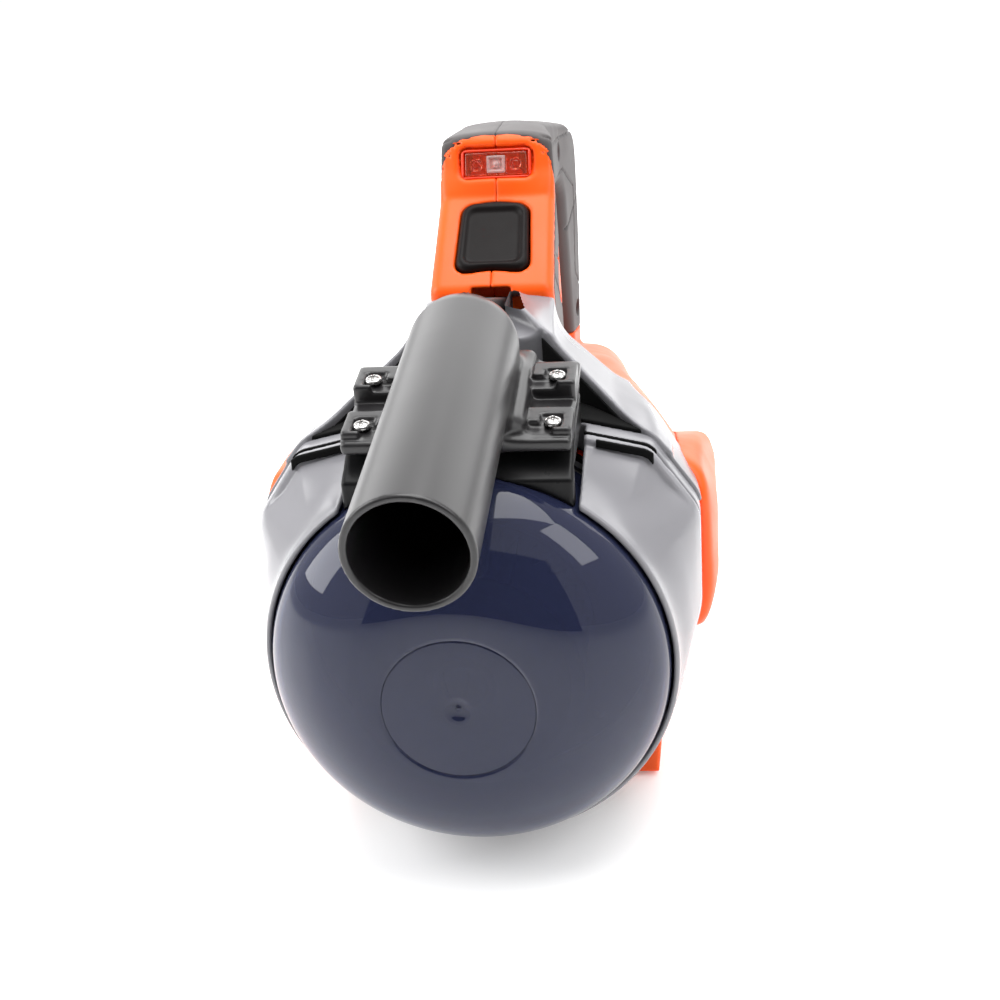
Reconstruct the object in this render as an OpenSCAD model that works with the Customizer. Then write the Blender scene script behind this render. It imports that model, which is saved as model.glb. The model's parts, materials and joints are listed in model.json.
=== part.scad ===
/* [Inlet tube] */
// Bore of the inlet tube, for 1 1/4 inch vacuum accessories
tube_bore = 32; // [31.5:0.1:32.5]
// Wall of the inlet tube
tube_wall = 2.2; // [1.8:0.1:2.4]
// Slope of the inlet tube, down towards its mouth
tube_slope = 8.3; // [7:0.1:9]

/* [Dust bowl] */
// Outside diameter of the dust bowl
bowl_d = 131; // [128:1:131]
// Wall of the dust bowl
bowl_wall = 2.5; // [2:0.1:3]

/* [Body] */
// Half width of the body's flanks
flank_x = 76; // [75:0.5:78]
// Wall of the housing
shell = 3; // [2.4:0.1:3.4]
// Thickness of the grip's rubber skin
skin = 2.2; // [1.6:0.1:2.4]

/* [Hidden] */
$fn = 72;

// The bowl's axis and front face, measured from the ground and the middle of the object
axis_z = 75;
front_y = -137;
ground = -axis_z;

orange = [1, 0.42, 0.1];
grey = [0.62, 0.62, 0.65];
charcoal = [0.17, 0.17, 0.18];
rubber = [0.4, 0.38, 0.38];
steel = [0.75, 0.75, 0.77];
smoke = [0.25, 0.27, 0.36, 0.6];

// Vector helpers
function unit(v) = v / norm(v);
function flat(p) = [p.x, p.y];
function cross2(a, b) = a.x * b.y - a.y * b.x;
function total(v) = v * [for (i = v) 1];

// Outlines are lists of [x, y, corner radius]
function arc_at(a, b, c, r, n) =
  let (u = unit(flat(a) - flat(b)), w = unit(flat(c) - flat(b)), half = acos(u * w) / 2,
    p = flat(b) + u * r / tan(half), q = flat(b) + w * r / tan(half),
    o = flat(b) + unit(u + w) * r / sin(half),
    start = atan2(p.y - o.y, p.x - o.x), stop = atan2(q.y - o.y, q.x - o.x),
    sweep = (stop - start + 540) % 360 - 180)
  [for (i = [0:n]) o + r * [cos(start + sweep * i / n), sin(start + sweep * i / n)]];
function rounded(pts) = let (n = len(pts))
  [for (i = [0:n - 1]) each (pts[i].z < 0.1 ? [flat(pts[i])]
    : arc_at(pts[(i + n - 1) % n], pts[i], pts[(i + 1) % n], pts[i].z, pts[i].z < 5 ? 4 : 7))];
function winding(pts) = let (n = len(pts))
  sign(total([for (i = [0:n - 1]) cross2(pts[i], pts[(i + 1) % n])]));
function inset(pts, d) = let (n = len(pts), s = winding(pts))
  [for (i = [0:n - 1]) let (b = pts[i], e = unit(flat(b) - flat(pts[(i + n - 1) % n])),
    f = unit(flat(pts[(i + 1) % n]) - flat(b)), p = s * [-e.y, e.x], q = s * [-f.y, f.x],
    m = flat(b) + d * (p + q) / (1 + p * q), r = b.z - d * s * sign(cross2(e, f)))
    [m.x, m.y, max(r, 0)]];
function both_sides(pts) =
  concat(pts, [for (i = [len(pts) - 1:-1:0]) [-pts[i].x, pts[i].y, pts[i].z]]);

// Placing helpers: everything is drawn about the bowl's axis, with Y running back from its face
module tool() translate([0, front_y, axis_z]) children();
module along_y(y0, y1) translate([0, y1, 0]) rotate([90, 0, 0]) linear_extrude(y1 - y0) children();
module along_x(x0, x1) translate([x0, 0, 0]) rotate([90, 0, 90]) linear_extrude(x1 - x0) children();
module turned() rotate([-90, 0, 0]) rotate_extrude() children();
module box(low, high) translate(low) cube(high - low);
module rod_y(r, y0, y1) translate([0, y1, 0]) rotate([90, 0, 0]) cylinder(r = r, h = y1 - y0);
module rod_x(r, x0, x1) translate([x0, 0, 0]) rotate([0, 90, 0]) cylinder(r = r, h = x1 - x0);
// A place in the middle plane, given as [y, z]
module pivot_at(p) translate([0, p[0], p[1]]) children();
module one_side(side) intersection() {
  children();
  box([side > 0 ? 0 : -200, -200, -200], [side > 0 ? 200 : 0, 500, 300]);
}
module pair() { children(); mirror([1, 0, 0]) children(); }
// Faces of a swept tube with n + 1 rings of k points
function tube_faces(n, k) = concat([for (i = [0:n - 1], j = [0:k - 1]) let (a = i * k, m = (j + 1) % k)
  [a + j, a + j + k, a + m + k, a + m]], [[for (j = [0:k - 1]) j]], [[for (j = [k - 1:-1:0]) n * k + j]]);
// A round lead in the plane at x, through points given as [y, z]
lead_sides = 8;
module lead(x, pts, r) {
  n = len(pts) - 1;
  points = [for (i = [0:n], j = [0:lead_sides - 1]) let (t = pts[min(i + 1, n)] - pts[max(i - 1, 0)],
    d = t / norm(t), b = 360 * j / lead_sides)
    [x + r * cos(b), pts[i].x - r * sin(b) * d.y, pts[i].y + r * sin(b) * d.x]];
  polyhedron(points, tube_faces(n, lead_sides));
}
// A compression spring along Z with flat-sided wire
coil_steps = 14;
wire_sides = 6;
module coil(r, wire, turns, h) {
  n = turns * coil_steps;
  points = [for (i = [0:n], k = [0:wire_sides - 1]) let (a = 360 * i / coil_steps, b = 360 * k / wire_sides,
    q = r + wire * cos(b)) [q * cos(a), q * sin(a), wire * sin(b) + wire + (h - 2 * wire) * i / n]];
  polyhedron(points, tube_faces(n, wire_sides));
}

// ---- Dust cup -------------------------------------------------------------------------------

bowl_r = bowl_d / 2;
bowl_y = 58;
dome_y = 28;
ring_r = 24.5;
port_x = 13;
port_y = [36, 56];

function dome(r, y0, y1, shift) = [for (i = [0:14]) let (a = 90 * i / 14)
  [ring_r - shift + (r - ring_r + shift) * pow(sin(a), 1.15), y0 + (y1 - y0) * (1 - pow(cos(a), 1.15))]];

module dust_bowl() color(smoke) tool() difference() {
  turned() polygon(concat([[0, 0.6], [ring_r - 0.6, 0.6], [ring_r - 0.6, 0]],
    dome(bowl_r, 0, dome_y, 0), [[bowl_r, bowl_y], [bowl_r - bowl_wall, bowl_y]],
    [for (p = [14:-1:0]) dome(bowl_r - bowl_wall, bowl_wall, dome_y, 1)[p]], [[0, bowl_wall + 0.6]]));
  box([-port_x, port_y[0], 40], [port_x, port_y[1], 80]);
}

module bowl_seal() color(charcoal) tool() turned()
  translate([bowl_r - 5, bowl_y]) square([4.6, 1.7]);

// The tube's own frame: Y runs back along the bore from the middle of its mouth
mouth = [0, -50.4, 78];
tube_r = tube_bore / 2;
tube_len = 118;
flange_x = 36.7;
flange_low = -tube_r - tube_wall;
flange_t = 4.6;
flange_y = [81, 136];
screw_y = [92, 117];
screw_x = 29.5;
deck_x = 22;
boss_t = flange_t + 2;
module tube_frame() translate(mouth) rotate([tube_slope, 0, 0]) children();

module duct_outer() {
  rod_y(tube_r + tube_wall, 0, tube_len);
  translate([0, tube_len, 0]) sphere(r = tube_r + tube_wall);
  box([-flange_x, flange_y[0], flange_low], [flange_x, flange_y[1], flange_low + flange_t]);
  // raised deck between the tube and its flange
  box([-deck_x, flange_y[0] + 5, flange_low], [deck_x, flange_y[1], -6]);
  for (x = [-screw_x, screw_x], y = screw_y) translate([x, y, flange_low]) cylinder(r = 5.6, h = boss_t);
}

catch_y = [132, 147];
catch_x = 9;
module inlet_duct() color(charcoal) tool() tube_frame() difference() {
  union() {
    duct_outer();
    box([-catch_x, catch_y[0], -8], [catch_x, catch_y[1], -1.5]);
  }
  rod_y(tube_r, -1, tube_len);
  translate([0, tube_len, 0]) sphere(r = tube_r);
  box([-port_x, 89, -30], [port_x, 110, -5]);
  for (x = [-screw_x, screw_x], y = screw_y) translate([x, y, -30]) cylinder(r = 2, h = 40);
  // notch that the latch's nose drops into
  box([-6, catch_y[0] + 7, -4], [6, catch_y[1] - 4, 5]);
}

gasket_t = 1;
module duct_gasket() color(charcoal) tool() tube_frame() difference() {
  box([-port_x - 5, 85, flange_low - gasket_t], [port_x + 5, 115, flange_low]);
  box([-port_x, 89, -30], [port_x, 110, -5]);
}

saddle_y = [30, 73];
duct_x = 11.4;
flap_axis = [38.6, 60];
flap_x = duct_x - 0.2;
flap_pin_r = 0.9;
module saddle_body() difference() {
  box([-flange_x, saddle_y[0], 45], [flange_x, saddle_y[1], 95]);
  rod_y(bowl_r + 0.1, 0, 100);
  rod_y(bowl_r + 1, bowl_y + 0.3, 100);
  tube_frame() {
    box([-60, 0, flange_low], [60, 200, 60]);
    box([-port_x - 5.2, 84.8, flange_low - gasket_t], [port_x + 5.2, 115.2, 0]);
    for (x = [-screw_x, screw_x], y = screw_y) translate([x, y, -32]) cylinder(r = 1.5, h = 30);
  }
  box([-duct_x, port_y[0], 40], [duct_x, port_y[1], 100]);
  // side steps that leave a ridge along each flank
  pair() box([flange_x - 2.5, saddle_y[0] + 6, 40], [60, saddle_y[1] + 1, 66]);
}
module flap_ears() pair() difference() {
  box([duct_x, port_y[0] + 0.3, 57.8], [port_x - 0.3, port_y[0] + 5, 67]);
  pivot_at(flap_axis) rod_x(flap_pin_r + 0.01, 0, 20);
}
module saddle_block() color(charcoal) tool() {
  saddle_body();
  flap_ears();
}

module duct_screws() color(steel) tool() tube_frame()
  for (x = [-screw_x, screw_x], y = screw_y) translate([x, y, flange_low]) {
    translate([0, 0, boss_t]) difference() {
      cylinder(r = 3.6, h = 2.4);
      translate([0, 0, 1]) cylinder(r = 1.6, h = 3, $fn = 6);
    }
    translate([0, 0, -9]) cylinder(r = 1.45, h = 9 + boss_t);
  }

// Flap that keeps the dust in, hung under the port
module inlet_flap() color(charcoal) tool() difference() {
  union() {
    box([-flap_x, flap_axis[0], flap_axis[1] - 1.6], [flap_x, 57.7, flap_axis[1] + 0.4]);
    pivot_at(flap_axis) rod_x(1.9, -flap_x, flap_x);
  }
  pivot_at(flap_axis) rod_x(flap_pin_r + 0.06, -20, 20);
}
module flap_pin() color(steel) tool() pivot_at(flap_axis) rod_x(flap_pin_r, -port_x + 0.3, port_x - 0.3);

// ---- Filter ---------------------------------------------------------------------------------

filter_r = 38;
filter_in = 25;
module filter_cage() color(charcoal) tool() difference() {
  turned() polygon([[filter_in - 1.6, 18], [filter_in, 18], [filter_in, 54], [filter_r + 1, 54],
    [filter_r + 1, 58], [filter_in - 1.6, 58]]);
  for (a = [0:45:135], y = [21, 32, 43]) translate([0, y, 0]) rotate([0, a, 0])
    box([-30, 0, -6.5], [30, 9, 6.5]);
}
pleats = 36;
module filter_pleats() color([0.9, 0.89, 0.85]) tool() along_y(18.2, 53.8) difference() {
  polygon([for (i = [0:2 * pleats - 1]) let (a = 180 * i / pleats)
    (i % 2 ? filter_r - 0.5 : filter_in + 3.5) * [cos(a), sin(a)]]);
  circle(r = filter_in + 0.2);
}
module filter_cap() color(charcoal) tool() difference() {
  turned() polygon([[0, 13], [8, 13], [10, 14.4], [filter_r - 4, 14.4], [filter_r, 16], [filter_r, 18], [0, 18]]);
  pair() box([2, 10, -6], [6, 14.5, 6]);
}
module filter_seal() color(rubber) tool() turned() translate([23.7, 58.1]) square([6, 1.6]);

// ---- Body -----------------------------------------------------------------------------------

// Cross section seen from the front, from the top edge round to the bottom edge
body_section = both_sides([[34, 67, 12], [60, 61, 8], [flank_x, 38, 14], [flank_x, 2, 24], [58, -52, 10],
  [44, -66, 8]]);
collar_front = 28;
ring_y = 66;
housing_y = 75;
tail_y = 302;
body_side = [[56, -66, 0], [56, 72, 0], [75, 71.5, 0], [112, 62, 60], [205, 46, 30], [tail_y, 21, 12],
  [tail_y, -3, 3], [221, -3, 3], [216, -66, 14]];
body_plan = both_sides([[flank_x + 8, 50, 0], [flank_x + 2, 118, 60], [52, 200, 30], [44, tail_y + 2, 16]]);
// Sloping shoulders that lower the flanks towards the tail
shoulder_y = 200;
shoulder_tilt = 20;
shoulder = [[0, 97, 0], [90, -14, 0], [90, -160, 0], [-90, -160, 0], [-90, -14, 0]];

module body_solid(d) intersection() {
  along_y(54 + d, tail_y + 4) polygon(rounded(inset(body_section, d)));
  along_x(-90, 90) polygon(rounded(inset(body_side, d)));
  translate([0, 0, -80]) linear_extrude(170) polygon(rounded(inset(body_plan, d)));
  translate([0, shoulder_y, 0]) rotate([-shoulder_tilt, 0, 0])
    along_y(-180, 130) polygon(rounded(inset(shoulder, d)));
}
tray_side = [[50, -28], [62, -28], [112, -50], [250, -50], [250, -90], [50, -90]];
module tray_region(lift) translate([0, 0, lift]) along_x(-90, 90) polygon(tray_side);

cup_gap = 0.8;
module cup_clearance() {
  rod_y(bowl_r + cup_gap, 0, 60);
  box([-flange_x - 1.3, 0, 40], [flange_x + 1.3, 74, 110]);
}

module front_collar() color(grey) tool() difference() {
  union() {
    turned() polygon([[bowl_r + 0.5, collar_front], [68.2, collar_front], [70, 34], [71.9, 46], [72, ring_y],
      [bowl_r + 0.5, ring_y]]);
    intersection() {
      body_solid(0);
      along_y(50, ring_y) polygon(rounded(body_section));
    }
  }
  cup_clearance();
  rod_y(bowl_r + cup_gap, 0, ring_y + 1);
  tray_region(0);
}

module mid_ring() color(grey) tool() difference() {
  intersection() {
    body_solid(0.6);
    box([-90, ring_y, -90], [90, housing_y, 90]);
  }
  rod_y(bowl_r - 3, 0, housing_y + 1);
  cup_clearance();
  tray_region(0);
}

spigot_r = 23.3;
module bulkhead() color(charcoal) tool() difference() {
  turned() polygon([[spigot_r - 2.5, 48], [spigot_r, 48], [spigot_r, 60], [bowl_r + 0.6, 60], [bowl_r + 0.6, 64.5],
    [spigot_r - 2.5, 64.5]]);
  for (a = [45:90:315]) rotate([0, a, 0]) translate([55, 0, 0]) rod_y(2, 50, 70);
}

// Loop handle seen from the side: post, work-light head, grip and rear leg
handle_side = [[140, 50, 0], [140, 94.5, 5], [175.3, 121, 2], [177, 127.5, 2], [183, 144.6, 8], [212, 143.8, 40],
  [284, 131.5, 40], [309, 120, 18], [295, 4, 0]];
finger_hole = [[175.3, 10, 0], [178, 96, 8], [190, 110, 11], [270, 108, 14], [278.6, 10, 0]];
handle_front = both_sides([[22, 146, 7], [22.6, 120, 30], [25.6, 40, 0], [25.6, 2, 0]]);
handle_plan = both_sides([[25, 130, 0], [24.5, 178, 20], [17.5, 208, 30], [17.5, 264, 30], [22, 300, 20],
  [22, 330, 0]]);

module handle_solid(d) intersection() {
  along_y(120 + d, 330) polygon(rounded(inset(handle_front, d)));
  difference() {
    along_x(-40, 40) polygon(rounded(inset(handle_side, d)));
    along_x(-40, 40) polygon(rounded(inset(finger_hole, -d)));
  }
  linear_extrude(160) polygon(rounded(inset(handle_plan, d)));
}
skin_side = [[146, 60], [144.5, 78], [144.5, 92.5], [179.5, 119.5], [181.5, 127], [186.5, 150], [330, 150],
  [330, 38], [262, 42], [262, 92], [186, 92], [184, 53]];
module skin_layer(extra) intersection() {
  difference() {
    handle_solid(-0.01);
    handle_solid(skin + extra);
  }
  along_x(-40, 40) polygon(skin_side);
}

// The button slides square to the post's sloping face
slope_from = [0, 140.6, 94.7];
slope_angle = atan2(121 - 94.5, 175.3 - 140);
module slope_frame() translate(slope_from) rotate([slope_angle, 0, 0]) children();
button_x = 14;
button_y = [7.5, 40.5];

trigger_axis = [196, 114];
trigger_pin_r = 1.5;
trigger_pin_x = 10;
screw_at = [[86, 60], [190, 34.5], [196, -40], [291, 42], [199.5, 131], [262, 121]];
screw_head_x = 11;

module screw_boss(p) pivot_at(p) rod_x(5.4, -70, 70);
module screw_well(p) pivot_at(p) {
  rod_x(3.7, screw_head_x, 100);
  rod_x(1.9, 0, 50);
  rod_x(1.5, -14, 1);
}

// Ribs that carry the fan and the motor, posts for the board and the seat of the button's spring
board_post = [[20, 232], [20, 272]];
module inner_ribs() {
  intersection() {
    union() {
      difference() { box([-90, 88, -90], [90, 91, 90]); rod_y(54.2, 80, 95); }
      difference() { box([-90, 150, -90], [90, 153, 90]); rod_y(can_r + 0.1, 140, 160); }
    }
    difference() { body_solid(1); tray_region(-0.01); vent_window(); }
  }
  pair() for (p = board_post) translate([p.x, p.y, -1]) cylinder(r = 3, h = 16.9);
  intersection() {
    slope_frame() difference() {
      box([-24, 12, seat_z], [24, 34, seat_z + 1.2]);
      translate([0, stem_y, -20]) cylinder(r = stem_r + 0.3, h = 20);
    }
    handle_solid(skin + 1);
  }
}

module vent_window() pair() box([60, 100, -12], [95, 142, 26]);

module housing_shell() difference() {
  union() {
    difference() {
      union() {
        difference() {
          body_solid(0);
          box([-99, 0, -99], [99, housing_y, 99]);
          tray_region(-0.01);
        }
        handle_solid(0);
      }
      body_solid(shell);
      handle_solid(skin + shell - 0.4);
      box([-99, 0, -99], [99, housing_y, 99]);
    }
    difference() {
      intersection() {
        for (p = screw_at) screw_boss(p);
        union() { body_solid(1); handle_solid(skin + 1); }
      }
      rod_y(55, 80, 104);
    }
    inner_ribs();
  }
  skin_layer(0.05);
  for (p = screw_at) screw_well(p);
  vent_window();
  // button and light openings in the post's face
  slope_frame() box([-button_x - 0.5, button_y[0] - 0.5, -8], [button_x + 0.5, button_y[1] + 0.5, 4]);
  light_frame() box([-bezel_x - 0.05, -5, -1.05], [bezel_x + 0.05, 6.05, 10.65]);
  // latch slot, trigger slot and the ways for the terminals and leads
  box([-7.5, 136, 76], [7.5, 150, 94.5]);
  box([-7.5, 191, 100], [7.5, 236, 118]);
  // seats of the two pins
  pivot_at(latch_axis) rod_x(latch_pin_r, -latch_pin_x, latch_pin_x);
  pivot_at(trigger_axis) rod_x(trigger_pin_r, -trigger_pin_x, trigger_pin_x);
  box([-15.3, 200, -27], [15.3, 230, -11]);
  box([-10, 230, -10], [10, 240, 4]);
  // front opening to the fan
  rod_y(56, 60, 80);
  side_insert_pocket();
}
module housing_left() color(orange) tool() one_side(-1) housing_shell();
module housing_right() color(orange) tool() one_side(1) housing_shell();

module base_tray() color(charcoal) tool() difference() {
  intersection() {
    body_solid(0);
    tray_region(0);
    box([-99, 56, -99], [99, 220, 99]);
  }
  intersection() {
    body_solid(shell);
    box([-99, 67, -99], [99, 212, 99]);
  }
  rod_y(bowl_r + cup_gap, 0, 65);
}

// Side bumpers stand proud of the flanks around the exhaust grilles
bumper_section = [[62, 50, 6], [76, 43, 8], [84, 24, 16], [84, 0, 14], [76.5, -26, 5], [62, -26, 0]];
bumper_side = [[82, 34, 12], [90, 50, 12], [150, 44, 16], [160, 12, 18], [150, -22, 14], [94, -28, 12]];
bumper_plan = [[60, 78, 0], [78, 80, 8], [84, 104, 30], [84, 134, 30], [74, 164, 10], [60, 164, 0]];
grille_side = [[100, 28, 6], [138, 26, 6], [142, 6, 6], [136, -12, 6], [102, -14, 6]];
module side_bumper(side) color(orange) tool() difference() {
  mirror([side > 0 ? 0 : 1, 0, 0]) bumper_solid(0);
  body_solid(-0.02);
  along_x(-99, 99) polygon(rounded(grille_side));
}
module bumper_solid(d) intersection() {
  along_y(70, 170) polygon(rounded(inset(bumper_section, d)));
  along_x(50, 90) polygon(rounded(inset(bumper_side, d)));
  translate([0, 0, -40]) linear_extrude(100) polygon(rounded(inset(bumper_plan, d)));
}
module side_bumper_left() side_bumper(-1);
module side_bumper_right() side_bumper(1);

slats = 7;
module grille_right() {
  difference() {
    along_x(76.5, 80) polygon(rounded(inset(grille_side, 0.2)));
    along_x(70, 90) polygon(rounded(inset(grille_side, 2.6)));
  }
  intersection() {
    along_x(76.5, 79.4) polygon(rounded(inset(grille_side, 0.4)));
    for (i = [0:slats - 1]) translate([0, 0, -9 + i * 5.3]) box([70, 90, 0], [90, 150, 2]);
  }
}
module exhaust_grille_left() color(charcoal) tool() mirror([1, 0, 0]) grille_right();
module exhaust_grille_right() color(charcoal) tool() grille_right();

// Grey fairing that ties the collar to the foot of the handle
fairing_y = [104, 139.9];
wing = [[60, 79, 56], [50, 82, 60], [53, 82, 62], [28, 100, 82], [21, 106, 84], [21, 137, 87], [36, 138, 57]];
cap_side = [[75.2, 36], [84, 40], [97, 45], [105, 50], [108, 56], [113, 61], [121, 64], [121, 90], [75.2, 90]];
cap_t = 1.2;
module fairing_cap() intersection() {
  body_solid(-cap_t);
  along_x(-80, 80) polygon(cap_side);
}
module neck_fairing() color(grey) tool() difference() {
  union() {
    along_x(-24, 24)
      polygon([[fairing_y[0], 60], [fairing_y[0] + 4, 84], [fairing_y[1], 90], [fairing_y[1], 60]]);
    pair() hull() {
      for (p = wing) translate(p) sphere(r = 1.6, $fn = 16);
    }
    fairing_cap();
  }
  body_solid(-0.02);
  pair() bumper_solid(-0.1);
  box([-10, 90, 50], [10, 112, 99]);
  box([-7.5, 90, 74], [7.5, 150, 99]);
}

module front_feet() color(orange) tool() pair() difference() {
  along_y(74, 98) polygon(rounded([[40, -52, 0], [62, -46, 0], [59.5, ground + 5, 3], [56, ground + 1.6, 2],
    [44, ground + 1.6, 2], [41, -66, 1]]));
  body_solid(-0.02);
}
module rear_feet() color(charcoal) tool() pair() difference() {
  along_y(186, 208) polygon(rounded([[20, -60, 0], [42, -60, 0], [40, ground + 1.6, 2], [24, ground + 1.6, 2]]));
  body_solid(-0.02);
}
module foot_pads() color(rubber) tool() pair() {
  box([45, 77, ground], [55, 95, ground + 1.6]);
  box([26, 189, ground], [38, 205, ground + 1.6]);
}

module housing_screws() color(steel) tool() for (p = screw_at) pivot_at(p) difference() {
  union() {
    rod_x(3.3, screw_head_x + 0.1, screw_head_x + 2.4);
    rod_x(1.45, -12, screw_head_x + 1);
  }
  rod_x(1.2, screw_head_x + 1.2, 20);
}

module grip_skin() color(rubber) tool() difference() {
  skin_layer(0);
  for (p = screw_at) pivot_at(p) rod_x(3.9, screw_head_x, 100);
  box([-8, 190, 90], [8, 237, 120]);
  side_insert_pocket();
}
module grip_skin_left() one_side(-1) grip_skin();
module grip_skin_right() one_side(1) grip_skin();

insert_side = [[176.5, 102, 1], [181, 92, 4], [174, 77, 1], [165.5, 88, 4]];
module insert_at(x0, x1, grow) pair() along_x(x0, x1) polygon(rounded(inset(insert_side, -grow)));
module side_insert_pocket() insert_at(21.4, 40, 0.1);
module side_inserts() color(orange) tool() intersection() { insert_at(21.5, 30, 0); handle_solid(0); }

// ---- Work light -----------------------------------------------------------------------------

light_tilt = atan2(183 - 177, 144.6 - 127.5);
bezel_x = 13.6;
pip_x = 7.6;
module light_frame() translate([0, 177.4, 128.6]) rotate([-light_tilt, 0, 0]) children();
module light_bezel() color([0.8, 0.25, 0.12]) tool() light_frame() difference() {
  box([-bezel_x, 0.4, -1], [bezel_x, 6, 10.6]);
  box([-12, -1, 0.4], [12, 4.6, 9.2]);
}
module light_lens() color([0.95, 0.95, 0.95, 0.4]) tool() light_frame() difference() {
  box([-11.9, 0.9, 0.5], [11.9, 2.2, 9.1]);
  pair() translate([pip_x, 0, 4.6]) rod_y(2.2, 0, 5);
}
module light_board() color([0.95, 0.85, 0.5]) tool() light_frame() {
  box([-11.8, 3.6, 0.6], [11.8, 4.5, 9]);
  box([-4, 2.4, 1.6], [4, 3.6, 7.6]);
}
module lens_pips() color([0.95, 0.95, 0.95, 0.5]) tool() light_frame() pair() translate([pip_x, 0, 4.6])
  difference() {
    rod_y(2.1, 0.5, 3.5);
    rod_y(1.2, 0.4, 1.2);
  }

// ---- Dust cup release -----------------------------------------------------------------------

stem_y = 22;
stem_r = 3;
seat_z = -10.4;
module release_button() color(charcoal) tool() slope_frame() {
  difference() {
    translate([0, 0, -5]) linear_extrude(7) polygon(rounded([[button_x, button_y[0], 4],
      [button_x, button_y[1], 5], [-button_x, button_y[1], 5], [-button_x, button_y[0], 4]]));
    translate([0, 24, 60]) sphere(r = 59.2);
    translate([0, 24, -7]) linear_extrude(4) square([23, 26], center = true);
  }
  translate([0, stem_y, -11.8]) cylinder(r = stem_r, h = 9.3);
}
module release_spring() color(steel) tool() slope_frame()
  translate([0, stem_y, seat_z + 1.25]) coil(4.4, 0.45, 3, 6);

latch_axis = [152, 84];
latch_pin_r = 2;
latch_pin_x = 21.5;
latch_side = [[88.4, 95.4], [88.4, 102], [102, 102], [140, 91], [150, 88.5], [163.2, 96.3], [168, 99.9],
  [169.3, 98.1], [164.5, 94.5], [156, 80.4], [149, 80], [138, 86.5], [100, 98.2], [91, 98.2], [91, 95.4]];
module latch_lever() color(charcoal) tool() difference() {
  union() {
    along_x(-5.5, 5.5) polygon(latch_side);
    pivot_at(latch_axis) rod_x(4, -5.5, 5.5);
  }
  pivot_at(latch_axis) rod_x(latch_pin_r + 0.05, -9, 9);
}
module latch_pin() color(steel) tool() pivot_at(latch_axis) rod_x(latch_pin_r, -latch_pin_x, latch_pin_x);

// ---- Power trigger --------------------------------------------------------------------------

module power_trigger() color(charcoal) tool() difference() {
  along_x(-7, 7) polygon(rounded([[192, 112, 2], [193, 104, 2], [204, 101.5, 12], [234, 106.5, 2], [234, 111, 1],
    [206, 112.5, 2], [200, 118, 2], [193, 118, 3]]));
  pivot_at(trigger_axis) rod_x(trigger_pin_r + 0.05, -9, 9);
}
module trigger_pin() color(steel) tool()
  pivot_at(trigger_axis) rod_x(trigger_pin_r, -trigger_pin_x, trigger_pin_x);
module trigger_spring() color(steel) tool() translate([0, 229, 111.6]) coil(2.4, 0.35, 4, 6.9);
module power_switch() color(charcoal) tool() {
  box([-6, 207, 119.6], [6, 223, 131]);
  box([-6, 223, 118.6], [6, 233, 121]);
  translate([0, 214, 115.6]) cylinder(r = 1.6, h = 4);
}

// ---- Drive ----------------------------------------------------------------------------------

module fan_shroud() color(charcoal) tool() difference() {
  turned() polygon([[21, 66], [23, 66], [23, 69], [50, 69], [52, 71], [52, 100], [54, 100], [54, 103], [8.3, 103],
    [8.3, 100], [49, 100], [49.5, 98], [49.5, 73], [48, 71.4], [21, 71.4]]);
  for (a = [20:40:340]) rotate([0, a, 0]) translate([38, 0, 0]) rod_y(7, 99, 110);
}
blades = 9;
module impeller() color(grey) tool() {
  turned() polygon([[3, 74], [9, 74], [9, 92], [46, 92], [46, 94], [3, 94]]);
  for (i = [0:blades - 1]) rotate([0, i * 360 / blades, 0]) box([6, 76, 6], [45, 92.5, 7.6]);
}
module rotor() color(steel) tool() turned() polygon([[0, 72], [2.2, 72], [2.2, 74], [3, 74], [3, 116], [16, 116],
  [16, 152], [8, 152], [8, 160], [3, 160], [3, 178], [0, 178]]);
module shaft_nut() color(steel) tool() difference() {
  along_y(71, 73.9) circle(r = 5, $fn = 6);
  rod_y(2.25, 60, 80);
}
can_r = 27;
module motor_can() color(steel) tool() difference() {
  rod_y(can_r, 104, 164);
  rod_y(25, 106, 165);
  rod_y(8.1, 100, 107);
  for (a = [45:90:315]) rotate([0, a, 0]) translate([16, 0, 0]) rod_y(4, 100, 107);
}
module motor_magnets() color(charcoal) tool() difference() {
  rod_y(24.9, 112, 156);
  rod_y(17, 100, 160);
  box([-4, 100, -30], [4, 160, 30]);
}
module motor_bearings() color(steel) tool() for (y = [100.2, 166.3]) translate([0, y, 0]) turned()
  translate([3.03, 0]) square([5, 5.4]);
module motor_end_cap() color(charcoal) tool() difference() {
  turned() polygon([[8.2, 164.1], [can_r, 164.1], [can_r, 168], [14, 172], [14, 175], [5, 175],
    [5, 172.2], [8.2, 172.2]]);
  for (a = [0:90:270]) rotate([0, a, 0]) translate([19.5, 0, 0]) rod_y(3, 160, 180);
}

// ---- Electrics ------------------------------------------------------------------------------

module circuit_board() color([0.1, 0.35, 0.2]) tool() {
  box([-24, 226, 16], [24, 278, 17.6]);
  box([-18, 250, 17.6], [-4, 270, 23]);
  box([2, 254, 17.6], [18, 268, 21]);
  translate([14, 238, 17.6]) cylinder(r = 5, h = 13);
  translate([2, 238, 17.6]) cylinder(r = 4, h = 10);
}
motor_lead = [[230, 17.9], [230, 23], [224, 28], [212, 30], [192, 27], [181, 22], [176.5, 14], [175.2, 12]];
power_lead = [[205.8, -16], [201, -15], [199, -8], [199, 4], [203, 11], [216, 14], [222, 14.2], [225.8, 14.8]];
switch_lead = [[272, 17.9], [272.8, 19.4], [278, 19.4], [283.2, 20.2], [284.2, 24], [283.3, 40], [283.4, 50],
  [289, 72], [292, 92], [288, 113], [277, 124], [267, 128.2], [257, 129], [244, 129.4], [230, 128], [223.2, 127]];
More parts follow.
